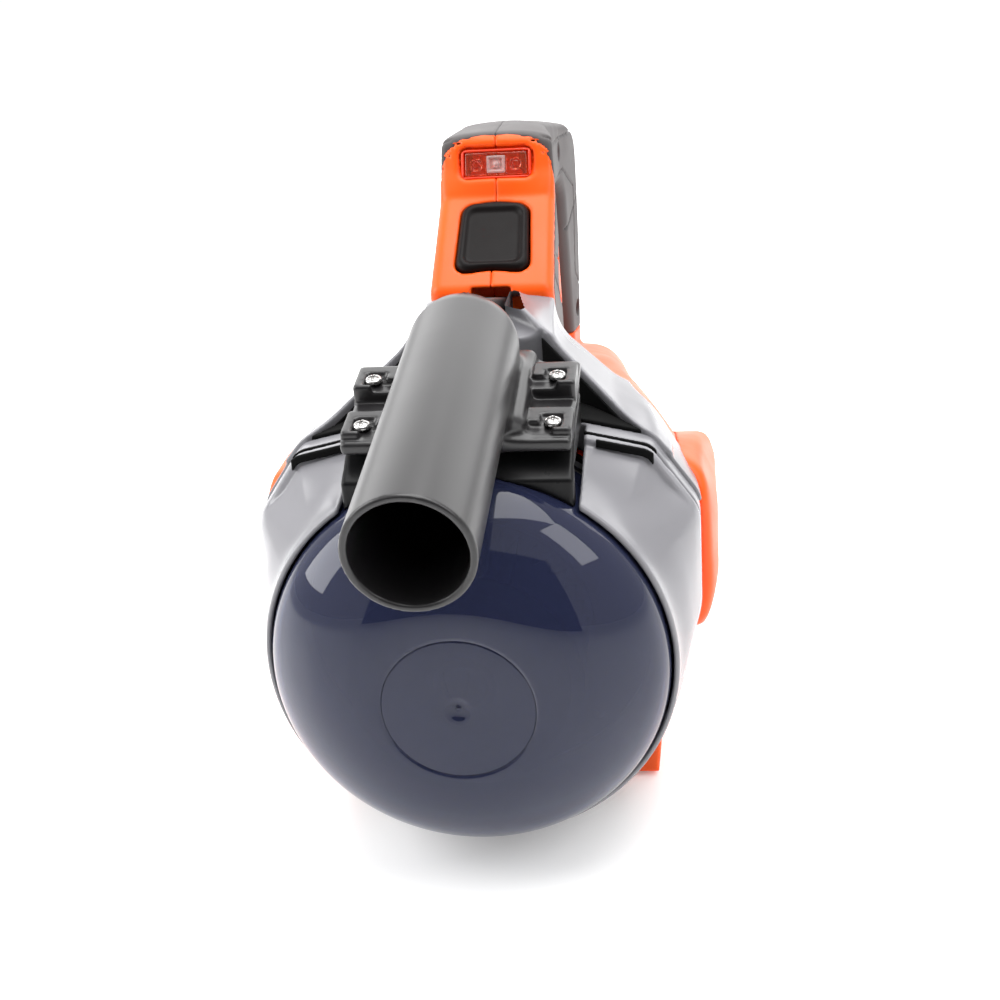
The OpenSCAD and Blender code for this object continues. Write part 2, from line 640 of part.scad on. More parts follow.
module leads() color([0.6, 0.1, 0.1]) tool() {
  for (x = [-12, 12]) lead(x, motor_lead, 1.3);
  for (x = [-6, 6]) lead(x, power_lead, 1.3);
  lead(0, switch_lead, 1.1);
}
blade_x = [-9, 0, 9];
module terminal_block() color(charcoal) tool() {
  box([-15, 206, -26], [15, 220.4, -12]);
  for (x = blade_x) box([x - 0.5, 220.4, -24], [x + 0.5, 236, -15.5]);
}

// The pack hangs from rails under the tail and leaves to the rear
pack_x = 38;
pack_y = [223, 327];
rail_z = [-12.7, -9.9];
module battery_bay() color(charcoal) tool() difference() {
  union() {
    box([-42, 223, -6], [42, tail_y - 2, -3.05]);
    pair() box([pack_x + 0.4, 223, -21], [42, tail_y - 2, -3.05]);
    pair() box([30, 223, rail_z[0]], [42, tail_y - 2, rail_z[1]]);
  }
  // pockets for the pack's latches
  pair() box([pack_x, 289.5, -19], [pack_x + 3, 296.5, -13.2]);
  box([-10, 230, -10], [10, 240, 4]);
}

module battery_case() color(charcoal) tool() difference() {
  translate([0, 0, -72]) linear_extrude(42) polygon(rounded([[pack_x, pack_y[0], 5], [pack_x, pack_y[1], 9],
    [-pack_x, pack_y[1], 9], [-pack_x, pack_y[0], 5]]));
  box([-35.6, 225.4, -69.6], [35.6, 324.6, -20]);
  pair() box([33.2, latch_y[0] - 2, -40], [50, latch_y[1] + 2, -20]);
}
latch_y = [286, 314];
module battery_cover() color(charcoal) tool() difference() {
  union() {
    translate([0, 0, -29.9]) linear_extrude(16.9) polygon(rounded([[pack_x, pack_y[0], 5], [pack_x, pack_y[1], 9],
      [-pack_x, pack_y[1], 9], [-pack_x, pack_y[0], 5]]));
    box([-29.4, pack_y[0], -13.2], [29.4, 298, -9.4]);
    box([-36, pack_y[0], -9.6], [36, 298, -6.6]);
    box([-pack_x + 4, 302.5, -13.1], [pack_x - 4, pack_y[1] - 4, -3]);
  }
  box([-35.6, 225.4, -40], [35.6, 284, -16]);
  box([-27, 284, -40], [27, 324.6, -16]);
  for (x = blade_x) box([x - 1.2, 220, -25], [x + 1.2, 238, -14.6]);
  pair() box([32.4, latch_y[0] - 2, -40], [50, latch_y[1] + 2, -15.5]);
  pair() box([32.4, 288, -20], [50, 298, -12.9]);
}
module battery_cells() color([0.2, 0.45, 0.3]) tool()
  for (i = [-2:2], z = [-60, -40.6]) translate([0, 275 + 19.2 * i, z]) rod_x(9.2, -32.1, 32.1);
module battery_board() color([0.1, 0.35, 0.2]) tool() {
  box([-26, 240, -28], [26, 282, -26.4]);
  for (x = blade_x) difference() {
    box([x - 2.6, 240, -26.4], [x + 2.6, 252, -17]);
    box([x - 1, 239, -25], [x + 1, 250, -16.5]);
  }
}
latch_in = 34.9;
module latch_right() difference() {
  union() {
    box([latch_in, latch_y[0], -38], [pack_x - 0.2, latch_y[1], -22]);
    box([pack_x - 0.3, latch_y[0] + 3, -35], [pack_x + 1.5, latch_y[1] - 3, -25]);
    box([latch_in, 290.3, -23], [pack_x - 0.2, 295.7, -15.8]);
    box([pack_x - 0.3, 290.3, -18.4], [pack_x + 1.6, 295.7, -15.8]);
  }
  for (y = [292:4:308]) box([pack_x + 0.9, y, -34], [50, y + 1.4, -26]);
}
module battery_latch_left() color(orange) tool() mirror([1, 0, 0]) latch_right();
module battery_latch_right() color(orange) tool() latch_right();

dust_bowl();
bowl_seal();
saddle_block();
inlet_duct();
duct_gasket();
duct_screws();
inlet_flap();
flap_pin();
filter_cage();
filter_pleats();
filter_cap();
filter_seal();
front_collar();
mid_ring();
bulkhead();
housing_left();
housing_right();
base_tray();
side_bumper_left();
side_bumper_right();
exhaust_grille_left();
exhaust_grille_right();
neck_fairing();
front_feet();
rear_feet();
foot_pads();
housing_screws();
grip_skin_left();
grip_skin_right();
side_inserts();
light_bezel();
light_lens();
light_board();
lens_pips();
release_button();
release_spring();
latch_lever();
latch_pin();
power_trigger();
trigger_pin();
trigger_spring();
power_switch();
fan_shroud();
impeller();
rotor();
shaft_nut();
motor_can();
motor_magnets();
motor_bearings();
motor_end_cap();
circuit_board();
terminal_block();
battery_bay();
battery_case();
battery_cover();
battery_cells();
battery_board();
battery_latch_left();
battery_latch_right();
leads();
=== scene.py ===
"""Looks of the cordless handheld vacuum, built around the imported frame.

Moulded shells are written as signed distances, in millimetres about the bowl's axis with Y running
back from the bowl's face, and meshed by surface nets. Turned pieces are lathed.
"""

import json
import math

import bpy
import numpy as np
from mathutils import Matrix, Vector


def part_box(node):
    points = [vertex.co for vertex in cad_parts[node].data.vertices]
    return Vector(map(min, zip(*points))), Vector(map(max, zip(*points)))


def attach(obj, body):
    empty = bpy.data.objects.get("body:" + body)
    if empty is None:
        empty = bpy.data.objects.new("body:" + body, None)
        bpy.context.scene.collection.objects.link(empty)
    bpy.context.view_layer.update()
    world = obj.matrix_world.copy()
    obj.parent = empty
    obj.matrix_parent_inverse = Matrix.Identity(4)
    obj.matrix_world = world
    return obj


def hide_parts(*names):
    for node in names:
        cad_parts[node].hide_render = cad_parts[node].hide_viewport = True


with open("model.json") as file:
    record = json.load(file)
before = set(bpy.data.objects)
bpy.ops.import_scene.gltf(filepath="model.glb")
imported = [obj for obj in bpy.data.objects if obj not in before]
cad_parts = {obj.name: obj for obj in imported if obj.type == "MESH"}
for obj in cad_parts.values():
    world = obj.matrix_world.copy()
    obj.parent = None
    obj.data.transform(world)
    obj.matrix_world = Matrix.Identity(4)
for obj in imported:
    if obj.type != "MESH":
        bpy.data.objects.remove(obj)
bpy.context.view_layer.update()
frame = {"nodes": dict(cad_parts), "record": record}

RECORD = frame["record"]
BODY_OF = {n: b for b, members in RECORD["behaviour"]["bodies"].items() for n in members}
SLOT_OF = {s["node"]: s["material_slot"] for s in RECORD["subparts"]}
MM = 0.001

bowl_low, bowl_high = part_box("dust_bowl")
ORIGIN = Vector((0, bowl_low.y, (bowl_low.z + bowl_high.z) / 2))
BOWL_R = (bowl_high.x - bowl_low.x) / 2 / MM
BOWL_Y = (bowl_high.y - bowl_low.y) / MM
GROUND = -ORIGIN.z / MM


# ---- Camera and light -------------------------------------------------------------------------

def look(azimuth, elevation, roll):
    """Rotation of a camera that looks along +Y when its azimuth is 0."""
    a, e, t = (math.radians(v) for v in (azimuth, elevation, roll))
    right = Vector((math.cos(a), math.sin(a), 0))
    back = Vector((math.sin(a) * math.cos(e), -math.cos(a) * math.cos(e), math.sin(e)))
    up = back.cross(right)
    axes = (right * math.cos(t) + up * math.sin(t), up * math.cos(t) - right * math.sin(t), back)
    return Matrix(axes).transposed().to_4x4()


CAMERA_PLACE = (0.0713, -0.5155, 0.3140)
CAMERA_TURN = (8.05, 23.73, -4.10)
CAMERA_LENS = 52.2

camera = bpy.data.objects.new("camera", bpy.data.cameras.new("camera"))
camera.data.lens = CAMERA_LENS
camera.data.sensor_width = 36
camera.data.clip_start = 0.01
camera.matrix_world = Matrix.Translation(CAMERA_PLACE) @ look(*CAMERA_TURN)
bpy.context.scene.collection.objects.link(camera)
bpy.context.scene.camera = camera


LIT_POINT = Vector((0, 0, 0.1))


def softbox(name, place, size, power):
    """White area light that faces the part."""
    light = bpy.data.objects.new(name, bpy.data.lights.new(name, "AREA"))
    light.data.shape = "RECTANGLE"
    light.data.size, light.data.size_y = size
    light.data.energy = power
    light.location = place
    light.rotation_euler = (LIT_POINT - Vector(place)).to_track_quat("-Z", "Y").to_euler()
    bpy.context.scene.collection.objects.link(light)


softbox("top_light", (0.15, 0.1, 1.3), (1.2, 1.0), 18)
softbox("back_light", (0.0, 1.4, 0.8), (3.4, 1.1), 21)
softbox("left_light", (-1.2, -0.15, 0.75), (0.8, 1.0), 15)
softbox("right_light", (1.0, -0.35, 1.0), (0.5, 0.6), 4.5)

world = bpy.data.worlds.new("studio")
world.use_nodes = True
world.node_tree.nodes["Background"].inputs["Color"].default_value = (1, 1, 1, 1)
world.node_tree.nodes["Background"].inputs["Strength"].default_value = 0.88
bpy.context.scene.world = world
bpy.context.scene.view_settings.view_transform = "Standard"


# ---- Materials --------------------------------------------------------------------------------

def shader(name):
    """New material, its node tree and its principled shader."""
    m = bpy.data.materials.new(name)
    m.use_nodes = True
    tree = m.node_tree
    return m, tree, tree.nodes["Principled BSDF"]


def noise(tree, scale, detail=2.0):
    coords = tree.nodes.new("ShaderNodeTexCoord")
    n = tree.nodes.new("ShaderNodeTexNoise")
    n.inputs["Scale"].default_value = scale
    n.inputs["Detail"].default_value = detail
    tree.links.new(coords.outputs["Object"], n.inputs["Vector"])
    return n.outputs["Fac"]


def ramp(tree, source, low, high):
    """Spreads the middle of a noise over low to high."""
    r = tree.nodes.new("ShaderNodeMapRange")
    r.inputs["From Min"].default_value = 0.3
    r.inputs["From Max"].default_value = 0.7
    r.inputs["To Min"].default_value = low
    r.inputs["To Max"].default_value = high
    tree.links.new(source, r.inputs["Value"])
    return r.outputs["Result"]


def blend_colours(tree, source, a, b):
    mix = tree.nodes.new("ShaderNodeMix")
    mix.data_type = "RGBA"
    mix.inputs[6].default_value = (*a, 1)
    mix.inputs[7].default_value = (*b, 1)
    tree.links.new(source, mix.inputs[0])
    return mix.outputs[2]


def bump(tree, bsdf, source, height):
    b = tree.nodes.new("ShaderNodeBump")
    b.inputs["Strength"].default_value = 1
    b.inputs["Distance"].default_value = height * MM
    tree.links.new(source, b.inputs["Height"])
    tree.links.new(b.outputs["Normal"], bsdf.inputs["Normal"])


COLOUR_DRIFT = 0.06


def moulded(name, colour, roughness, grain=900, depth=0.02, ior=1.5, spot=0.05):
    """Moulded plastic: slow colour drift, uneven gloss and a fine tool texture."""
    m, tree, bsdf = shader(name)
    drift = noise(tree, 22, 3)
    dark = tuple(c * (1 - COLOUR_DRIFT) for c in colour)
    light = tuple(min(1, c * (1 + COLOUR_DRIFT)) for c in colour)
    tree.links.new(blend_colours(tree, ramp(tree, drift, 0, 1), dark, light), bsdf.inputs["Base Color"])
    patches = noise(tree, 60, 4)
    tree.links.new(ramp(tree, patches, roughness - spot, roughness + spot), bsdf.inputs["Roughness"])
    bump(tree, bsdf, noise(tree, grain, 3), depth)
    bsdf.inputs["IOR"].default_value = ior
    return m


def metal(name, colour, roughness):
    """Metal with fine wear in its colour and gloss."""
    m, tree, bsdf = shader(name)
    bsdf.inputs["Metallic"].default_value = 1
    worn = noise(tree, 1500, 4)
    dark = tuple(c * 0.8 for c in colour)
    tree.links.new(blend_colours(tree, worn, dark, colour), bsdf.inputs["Base Color"])
    tree.links.new(ramp(tree, worn, roughness - 0.06, roughness + 0.1), bsdf.inputs["Roughness"])
    bump(tree, bsdf, worn, 0.01)
    return m


def clear(name, colour, roughness, weight, ior=1.49):
    """See-through plastic; weight is the share of light that goes through."""
    m, tree, bsdf = shader(name)
    drift = noise(tree, 30, 2)
    dark = tuple(c * 0.92 for c in colour)
    tree.links.new(blend_colours(tree, drift, dark, colour), bsdf.inputs["Base Color"])
    tree.links.new(ramp(tree, noise(tree, 90, 3), roughness * 0.6, roughness * 1.4), bsdf.inputs["Roughness"])
    bsdf.inputs["Transmission Weight"].default_value = weight
    bsdf.inputs["IOR"].default_value = ior
    return m


ORANGE = moulded("orange_plastic", (0.9, 0.095, 0.005), 0.38, depth=0.02, ior=1.36)
# Orange darkened to paint the shade inside the work light's recess, used for its bezel
RECESS_SHADE_ORANGE = moulded("recess_shade_orange", (0.75, 0.04, 0.008), 0.3, depth=0.01)
GREY_GLOSS = moulded("grey_gloss", (0.2, 0.198, 0.212), 0.24, grain=200, depth=0.002, ior=1.5, spot=0.03)
DUCT = moulded("dark_gloss", (0.016, 0.015, 0.016), 0.3, grain=250, depth=0.001, ior=1.5, spot=0.015)
CHARCOAL = moulded("charcoal_plastic", (0.008, 0.008, 0.0085), 0.32, depth=0.006, ior=1.27)
# Near-black that paints shade on the sheets laid into joints and hollows
SHADE_BLACK = moulded("painted_shade_black", (0.004, 0.004, 0.004), 0.8, ior=1.2)
BUTTON = moulded("button_plastic", (0.006, 0.0045, 0.0045), 0.45, grain=1400, depth=0.01, ior=1.2)
INNER = moulded("inner_plastic", (0.02, 0.02, 0.022), 0.5)
SKIN_MATERIAL = moulded("grey_rubber", (0.075, 0.068, 0.068), 0.55, grain=1500, depth=0.03, ior=1.4)
RUBBER = moulded("black_rubber", (0.015, 0.015, 0.015), 0.75, grain=1200, depth=0.03)
FILTER = moulded("filter_paper", (0.78, 0.76, 0.7), 0.9, grain=700, depth=0.08)
BOARD = moulded("board", (0.01, 0.09, 0.03), 0.35)
CELL = moulded("cell_wrap", (0.02, 0.16, 0.06), 0.35)
WIRE = moulded("lead_wire", (0.35, 0.012, 0.01), 0.45)
STEEL = metal("steel", (0.62, 0.61, 0.6), 0.22)
MAGNET = metal("magnet", (0.16, 0.16, 0.17), 0.4)
BRASS = metal("brass", (0.75, 0.55, 0.22), 0.3)
SMOKE = clear("smoky_plastic", (0.045, 0.055, 0.13), 0.02, 0.66, ior=1.4)
# Clear plastic tinted red to paint the shade inside the work light's recess; the lens and its pips use it
RECESS_SHADE_LENS = clear("clear_lens", (1.0, 0.22, 0.1), 0.02, 0.9)
LED = clear("led_clear", (0.95, 0.8, 0.78), 0.04, 0.7)
SLOTS = {"smoky_plastic": SMOKE, "orange_plastic": ORANGE, "grey_gloss": GREY_GLOSS, "dark_gloss": DUCT,
         "charcoal_plastic": CHARCOAL, "grey_rubber": SKIN_MATERIAL, "black_rubber": RUBBER, "steel": STEEL,
         "clear_lens": RECESS_SHADE_LENS, "filter_paper": FILTER, "inner_plastic": INNER, "board": BOARD,
         "cell_wrap": CELL, "magnet": MAGNET, "brass": BRASS, "lead_wire": WIRE}

for node_name, node_object in frame["nodes"].items():
    node_object.data.materials.clear()
    node_object.data.materials.append(SLOTS[SLOT_OF[node_name]])


# ---- Signed distances -------------------------------------------------------------------------

ARC_STEPS = 7


def rounded(points):
    """Outline through (u, v, radius) corners, each replaced by its arc."""
    corners = []
    count = len(points)
    for i, (u, v, radius) in enumerate(points):
        if radius <= 0:
            corners.append((u, v))
            continue
        here = Vector((u, v))
        before = (Vector(points[i - 1][:2]) - here).normalized()
        after = (Vector(points[(i + 1) % count][:2]) - here).normalized()
        half = before.angle(after) / 2
        centre = here + (before + after).normalized() * radius / math.sin(half)
        start = here + before * radius / math.tan(half) - centre
        stop = here + after * radius / math.tan(half) - centre
        first = math.atan2(start.y, start.x)
        sweep = (math.atan2(stop.y, stop.x) - first + 3 * math.pi) % (2 * math.pi) - math.pi
        for k in range(ARC_STEPS + 1):
            a = first + sweep * k / ARC_STEPS
            corners.append((centre.x + radius * math.cos(a), centre.y + radius * math.sin(a)))
    return corners


FAR = 1e9


def stroke(u, v, a, b):
    """Squared distance to the line from a to b."""
    eu, ev = b[0] - a[0], b[1] - a[1]
    wu, wv = u - a[0], v - a[1]
    t = np.clip((wu * eu + wv * ev) / (eu * eu + ev * ev), 0, 1)
    return (wu - eu * t) ** 2 + (wv - ev * t) ** 2


def outline(u, v, points):
    """Signed distance to a closed outline, below 0 inside."""
    nearest, sign = FAR, 1.0
    for a, b in zip(points, points[1:] + points[:1]):
        nearest = np.minimum(nearest, stroke(u, v, a, b))
        above, below = v >= a[1], v < b[1]
        left = (b[0] - a[0]) * (v - a[1]) > (b[1] - a[1]) * (u - a[0])
        sign = np.where((above & below & left) | ~(above | below | left), -sign, sign)
    return sign * np.sqrt(nearest)


def both(a, b, r=1.0):
    """What two distances share, with the edge between them rounded over r."""
    h = np.maximum(r - np.abs(a - b), 0)
    return np.maximum(a, b) + h * h * (0.25 / r)


def either(a, b, r=1.0):
    """The two together, with a fillet of r."""
    return -both(-a, -b, r)


def without(a, b, r=1.0):
    """The first with the second cut out of it."""
    return both(a, -b, r)


def slab(v, low, high):
    return np.maximum(low - v, v - high)


def block(x, y, z, low, high, r=1.0):
    return both(both(slab(x, low[0], high[0]), slab(y, low[1], high[1]), r), slab(z, low[2], high[2]), r)


def reach(u, v):
    """Distance from an axis."""
    return np.sqrt(u * u + v * v)


def rod(u, v, radius, along, low, high, r=0.8):
    return both(reach(u, v) - radius, slab(along, low, high), r)


def turn(u, v, pivot, degrees):
    """Coordinates of (u, v) in a frame at pivot, turned by degrees."""
    c, s = math.cos(math.radians(degrees)), math.sin(math.radians(degrees))
    du, dv = u - pivot[0], v - pivot[1]
    return du * c + dv * s, dv * c - du * s


def smooth_step(v, low, high):
    """Eases from 0 at low to 1 at high."""
    t = np.clip((v - low) / (high - low), 0, 1)
    return t * t * (3 - 2 * t)


# ---- Meshing ----------------------------------------------------------------------------------

CORNERS = [(i, j, k) for i in (0, 1) for j in (0, 1) for k in (0, 1)]
EDGES = [(a, b) for a in range(8) for b in range(a + 1, 8)
         if sum(p != q for p, q in zip(CORNERS[a], CORNERS[b])) == 1]


def net(field, low, high, step):
    """Surface net of field(x, y, z) = 0 in a box: points and quads."""
    axes = [np.arange(a - 1.5 * step, b + 2.6 * step, step, np.float32) for a, b in zip(low, high)]
    grid = (axes[0][:, None, None], axes[1][None, :, None], axes[2][None, None, :])
    shape = tuple(len(a) for a in axes)
    values = np.broadcast_to(field(*grid), shape).astype(np.float32)

    # One point in each cell that has corners on both sides of the surface
    inside = values < 0
    cells = tuple(n - 1 for n in shape)
    count = np.zeros(cells, np.int8)
    for i, j, k in CORNERS:
        count += inside[i:i + cells[0], j:j + cells[1], k:k + cells[2]]
    where = np.argwhere((count > 0) & (count < 8))
    number = np.full(cells, -1, np.int64)
    number[tuple(where.T)] = np.arange(len(where))
    at = [values[tuple((where + c).T)] for c in CORNERS]
    total, hits = np.zeros((len(where), 3)), np.zeros(len(where))
    for a, b in EDGES:
        cross = (at[a] < 0) != (at[b] < 0)
        t = (at[a][cross] / (at[a][cross] - at[b][cross]))[:, None]
        total[cross] += np.array(CORNERS[a]) + t * (np.array(CORNERS[b]) - np.array(CORNERS[a]))
        hits[cross] += 1
    points = np.array([a[0] for a in axes]) + (where + total / hits[:, None]) * step

    # One quad around each grid edge that crosses it, wound to face outwards
    quads = []
    for axis in range(3):
        ahead = np.roll(inside, -1, axis)
        change = inside != ahead
        edge = [slice(1, -1)] * 3
        edge[axis] = slice(0, -1)
        base = np.argwhere(change[tuple(edge)])
        base += np.array([0 if n == axis else 1 for n in range(3)])
        u, v = np.eye(3, dtype=int)[(axis + 1) % 3], np.eye(3, dtype=int)[(axis + 2) % 3]
        ring = [number[tuple((base + o).T)] for o in (-u - v, -v, 0 * u, -u)]
        quad = np.stack(ring, 1)
        out = inside[tuple(base.T)]
        quads.append(np.where(out[:, None], quad, quad[:, ::-1]))
    return points, np.concatenate(quads)


TETRA = np.array([(1, 1, 1), (1, -1, -1), (-1, 1, -1), (-1, -1, 1)], float)


def settle(field, points, step):
    """Moves the net's points onto the surface itself, in two rounds."""
    e = 0.12 * step
    for _ in range(2):
        sample = [field(*(points + e * t).T) for t in TETRA]
        slope = sum(s[:, None] * t for s, t in zip(sample, TETRA)) / (4 * e)
        size = np.maximum((slope ** 2).sum(1), 0.05)
        move = slope * (sum(sample) / 4 / size)[:, None]
        points = points - np.clip(move, -0.45 * step, 0.45 * step)
    return points


def mesh_object(name, points, faces, material):
    """Smooth mesh from points in millimetres about the bowl's axis."""
    mesh = bpy.data.meshes.new(name)
    sides = faces.shape[1]
    place = points * MM + np.array(ORIGIN)
    mesh.vertices.add(len(points))
    mesh.vertices.foreach_set("co", place.astype(np.float32).ravel())
    mesh.loops.add(faces.size)
    mesh.loops.foreach_set("vertex_index", faces.astype(np.int32).ravel())
    mesh.polygons.add(len(faces))
    mesh.polygons.foreach_set("loop_start", np.arange(0, faces.size, sides, dtype=np.int32))
    mesh.update(calc_edges=True)
    mesh.polygons.foreach_set("use_smooth", np.ones(len(faces), bool))
    mesh.materials.append(material)
    made = bpy.data.objects.new(name, mesh)
    bpy.context.scene.collection.objects.link(made)
    return made


def stands_for(piece, *names):
    """Puts a piece in the place of the named CAD nodes."""
    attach(piece, BODY_OF[names[0]])
    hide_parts(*names)
    return piece


COARSE = 1


def surface(field, low, high, step):
    """Points and quads of a field, meshed and settled."""
    step = step * COARSE
    points, faces = net(field, low, high, step)
    return settle(field, points, step), faces


def form(name, field, low, high, step, material, *names):
    """A piece meshed from its distance field, which stands for the named CAD nodes."""
    return stands_for(mesh_object(name, *surface(field, low, high, step), material), *names)


def mirrored(field):
    return lambda x, y, z: field(np.abs(x), y, z)


def lathe(name, profile, material, *names, turns=128):
    """Closed (radius, y) profile turned about the bowl's axis."""
    angles = np.arange(turns) * 2 * math.pi / turns
    points = np.array([(r * math.cos(a), y, r * math.sin(a)) for a in angles for r, y in profile])
    n = len(profile)
    steps = [(i * n, (i + 1) % turns * n, j, (j + 1) % n) for i in range(turns) for j in range(n)]
    faces = [(here + j, here + after, there + after, there + j) for here, there, j, after in steps]
    piece = mesh_object(name, points, np.array(faces), material)
    return stands_for(piece, *names)


# ---- Pieces -----------------------------------------------------------------------------------

def both_sides(points):
    return points + [(-u, v, r) for u, v, r in reversed(points)]


# Body outlines: from the front, from the side and from above
SECTION = rounded(both_sides([(34, 67, 12), (60, 61, 8), (76, 38, 14), (76, 2, 24), (58, -52, 10),
                              (44, -66, 8)]))
TAIL_Y = 302
SIDE = rounded([(56, -66, 0), (56, 72, 0), (75, 71.5, 0), (112, 62, 60), (205, 46, 30), (TAIL_Y, 21, 12),
                (TAIL_Y, -3, 3), (221, -3, 3), (216, -66, 14)])
PLAN = rounded(both_sides([(84, 50, 0), (78, 118, 60), (52, 200, 30), (44, TAIL_Y + 2, 16)]))
WALL = 2.6
# Sloping shoulders, which lower the flanks towards the tail
SHOULDER_Y = 200
SHOULDER_TILT = math.radians(20)
SHOULDER_TOP = 97
SHOULDER_FALL = 1.2333
SHOULDER_UNIT = 0.6298
COLLAR_Y, RING_Y, HOUSING_Y = 28, 66, 75
COLLAR_R = 68.2
TRAY = [(50, -28), (62, -28), (112, -50), (250, -50), (250, -90), (50, -90)]


def body(x, y, z):
    rise = (y - SHOULDER_Y) * math.sin(SHOULDER_TILT) + z * math.cos(SHOULDER_TILT)
    shoulder = (rise + np.abs(x) * SHOULDER_FALL - SHOULDER_TOP) * SHOULDER_UNIT
    solid = both(both(outline(x, z, SECTION), outline(y, z, SIDE), 6), outline(x, y, PLAN), 10)
    return both(solid, shoulder, 9)


def tray_zone(y, z):
    return outline(y, z, TRAY)


# Handle outlines: from the side, the finger hole, from the front and from above
HANDLE_SIDE = rounded([(140, 50, 0), (140, 94.5, 5), (175.3, 121, 4), (177, 127.5, 4), (183, 144.6, 8),
                       (212, 143.8, 40), (284, 131.5, 40), (309, 120, 18), (295, 4, 0)])
FINGER_HOLE = rounded([(175.3, 10, 0), (178, 96, 8), (190, 110, 11), (270, 108, 14), (278.6, 10, 0)])
HANDLE_FRONT = rounded(both_sides([(22, 146, 7), (22.6, 120, 30), (25.6, 40, 0), (25.6, 2, 0)]))
HANDLE_PLAN = rounded(both_sides([(25, 130, 0), (24.5, 178, 20), (17.5, 208, 30), (17.5, 264, 30),
                                  (22, 300, 20), (22, 330, 0)]))
SKIN_SIDE = [(146, 60), (144.5, 78), (144.5, 92.5), (179.5, 119.5), (181.5, 127), (186.5, 150), (330, 150),
             (330, 30), (262, 34), (262, 92), (186, 92), (184, 53)]
SKIN = 2.2


def handle(x, y, z):
    """Loop handle with an arched top and rounded cheeks."""
    loop = without(outline(y, z, HANDLE_SIDE), outline(y, z, FINGER_HOLE), 0.5)
    wide = both(outline(x, z, HANDLE_FRONT), outline(x, y, HANDLE_PLAN), 3)
    arch = loop + 0.007 * np.minimum(x * x, 500) * smooth_step(z, 120, 132)
    cheeks = (loop + wide) * 0.7071 + 1.6
    return both(both(arch, wide, 2), cheeks, 2)


# The button lies along the post's sloping face, and the work light leans back above it
SLOPE_FROM = (140.6, 94.7)
SLOPE = math.degrees(math.atan2(121 - 94.5, 175.3 - 140))
LIGHT_FROM = (177.4, 128.6)
LIGHT_TILT = -math.degrees(math.atan2(183 - 177, 144.6 - 127.5))
BUTTON_X, BUTTON_LOW, BUTTON_HIGH = 14, 7.5, 40.5


def button_outline(grow):
    x, low, high = BUTTON_X + grow, BUTTON_LOW - grow, BUTTON_HIGH + grow
    return rounded([(x, low - 0.4, 4.5), (x - 1.2, high - 1.2, 5.5), (0, high + 0.6, 30),
                    (-x + 1.2, high - 1.2, 5.5), (-x, low - 0.4, 4.5), (0, low + 1.2, 12)])


BUTTON_POCKET, BUTTON_EDGE = button_outline(0.45), button_outline(0)
POCKET_DEPTH = 9.4
LIGHT_POCKET = rounded([(-14.2, -0.6, 3.2), (-14.2, 11.2, 3.6), (14.2, 11.2, 3.6), (14.2, -0.6, 3.2)])
VENT = ((60, 100, -12), (95, 142, 26))
LATCH_SLOT = ((-7.5, 136, 76), (7.5, 150, 94.5))
TRIGGER_SLOT = ((-7.7, 190.7, 100), (7.7, 236.3, 118.9))
SCREWS = [(86, 60), (190, 34.5), (196, -40), (291, 42), (199.5, 131), (262, 121)]
SCREW_HEAD_X = 11


def screw_wells(x, y, z, radius):
    nearest = FAR
    for py, pz in SCREWS:
        nearest = np.minimum(nearest, rod(y - py, z - pz, radius, x, SCREW_HEAD_X, 100))
    return nearest


def button_place(y, z):
    """Along and out of the post's face, from the foot of the button."""
    return turn(y, z, SLOPE_FROM, SLOPE)


def light_place(y, z):
    """Into and up the work light, from its lower edge."""
    return turn(y, z, LIGHT_FROM, LIGHT_TILT)


def housing(x, y, z):
    shell = without(body(x, y, z), body(x, y, z) + WALL, 0.8)
    shell = without(shell, tray_zone(y, z) - 0.2, 0.6)
    grip = handle(x, y, z)
    core = without(grip, both(outline(y, z, SKIN_SIDE), -(grip + SKIN), 0.3), 0.3)
    solid = either(shell, without(core, body(x, y, z) + WALL, 0.8), 3)
    v, w = button_place(y, z)
    solid = without(solid, both(outline(x, v, BUTTON_POCKET), slab(w, -POCKET_DEPTH, 9), 0.5), 1.0)
    v, w = light_place(y, z)
    solid = without(solid, both(outline(x, w, LIGHT_POCKET), slab(v, -9, 3.2), 2.5), 2.4)
    solid = without(solid, block(x, y, z, *VENT, 2), 1)
    solid = without(solid, block(x, y, z, *LATCH_SLOT, 0.8), 0.8)
    solid = without(solid, block(x, y, z, *TRIGGER_SLOT, 0.8), 0.8)
    solid = without(solid, screw_wells(x, y, z, 3.7), 0.8)
    return both(solid, slab(y, HOUSING_Y, 400), 0.8)


def half(field, seam=0.7):
    """Right half of a field, with a seam's rounded edge along the middle."""
    return lambda x, y, z: both(field(x, y, z), -x + 0.02, seam)


def both_halves(name, field, low, high, step, material):
    """The right half, and its mirror image for the left."""
    points, faces = surface(field, low, high, step)
    stands_for(mesh_object(name + "_right_shape", points, faces, material), name + "_right")
    points = points * (-1, 1, 1)
    stands_for(mesh_object(name + "_left_shape", points, faces[:, ::-1], material), name + "_left")


both_halves("housing", half(housing), (0, 74, -67), (78, 306, 147), 0.9, ORANGE)

INSERT_EDGE = rounded([(176.5, 102, 1), (181, 92, 4), (174, 77, 1), (165.5, 88, 4)])
INSERT_X = 21.5
# Thin lines pressed into the sides of the grip
SKIN_LINES = [((150, 97), (176, 76)), ((158, 103), (186, 90)), ((186, 141), (206, 112)),
              ((206, 112), (270, 112)), ((270, 112), (292, 100)), ((186, 133), (300, 124)),
              ((292, 100), (288, 60)), ((288, 60), (300, 50)), ((274, 84), (304, 96))]


def skin_grooves(y, z):
    nearest = FAR
    for a, b in SKIN_LINES:
        nearest = np.minimum(nearest, stroke(y, z, a, b))
    return np.sqrt(nearest) - 0.45


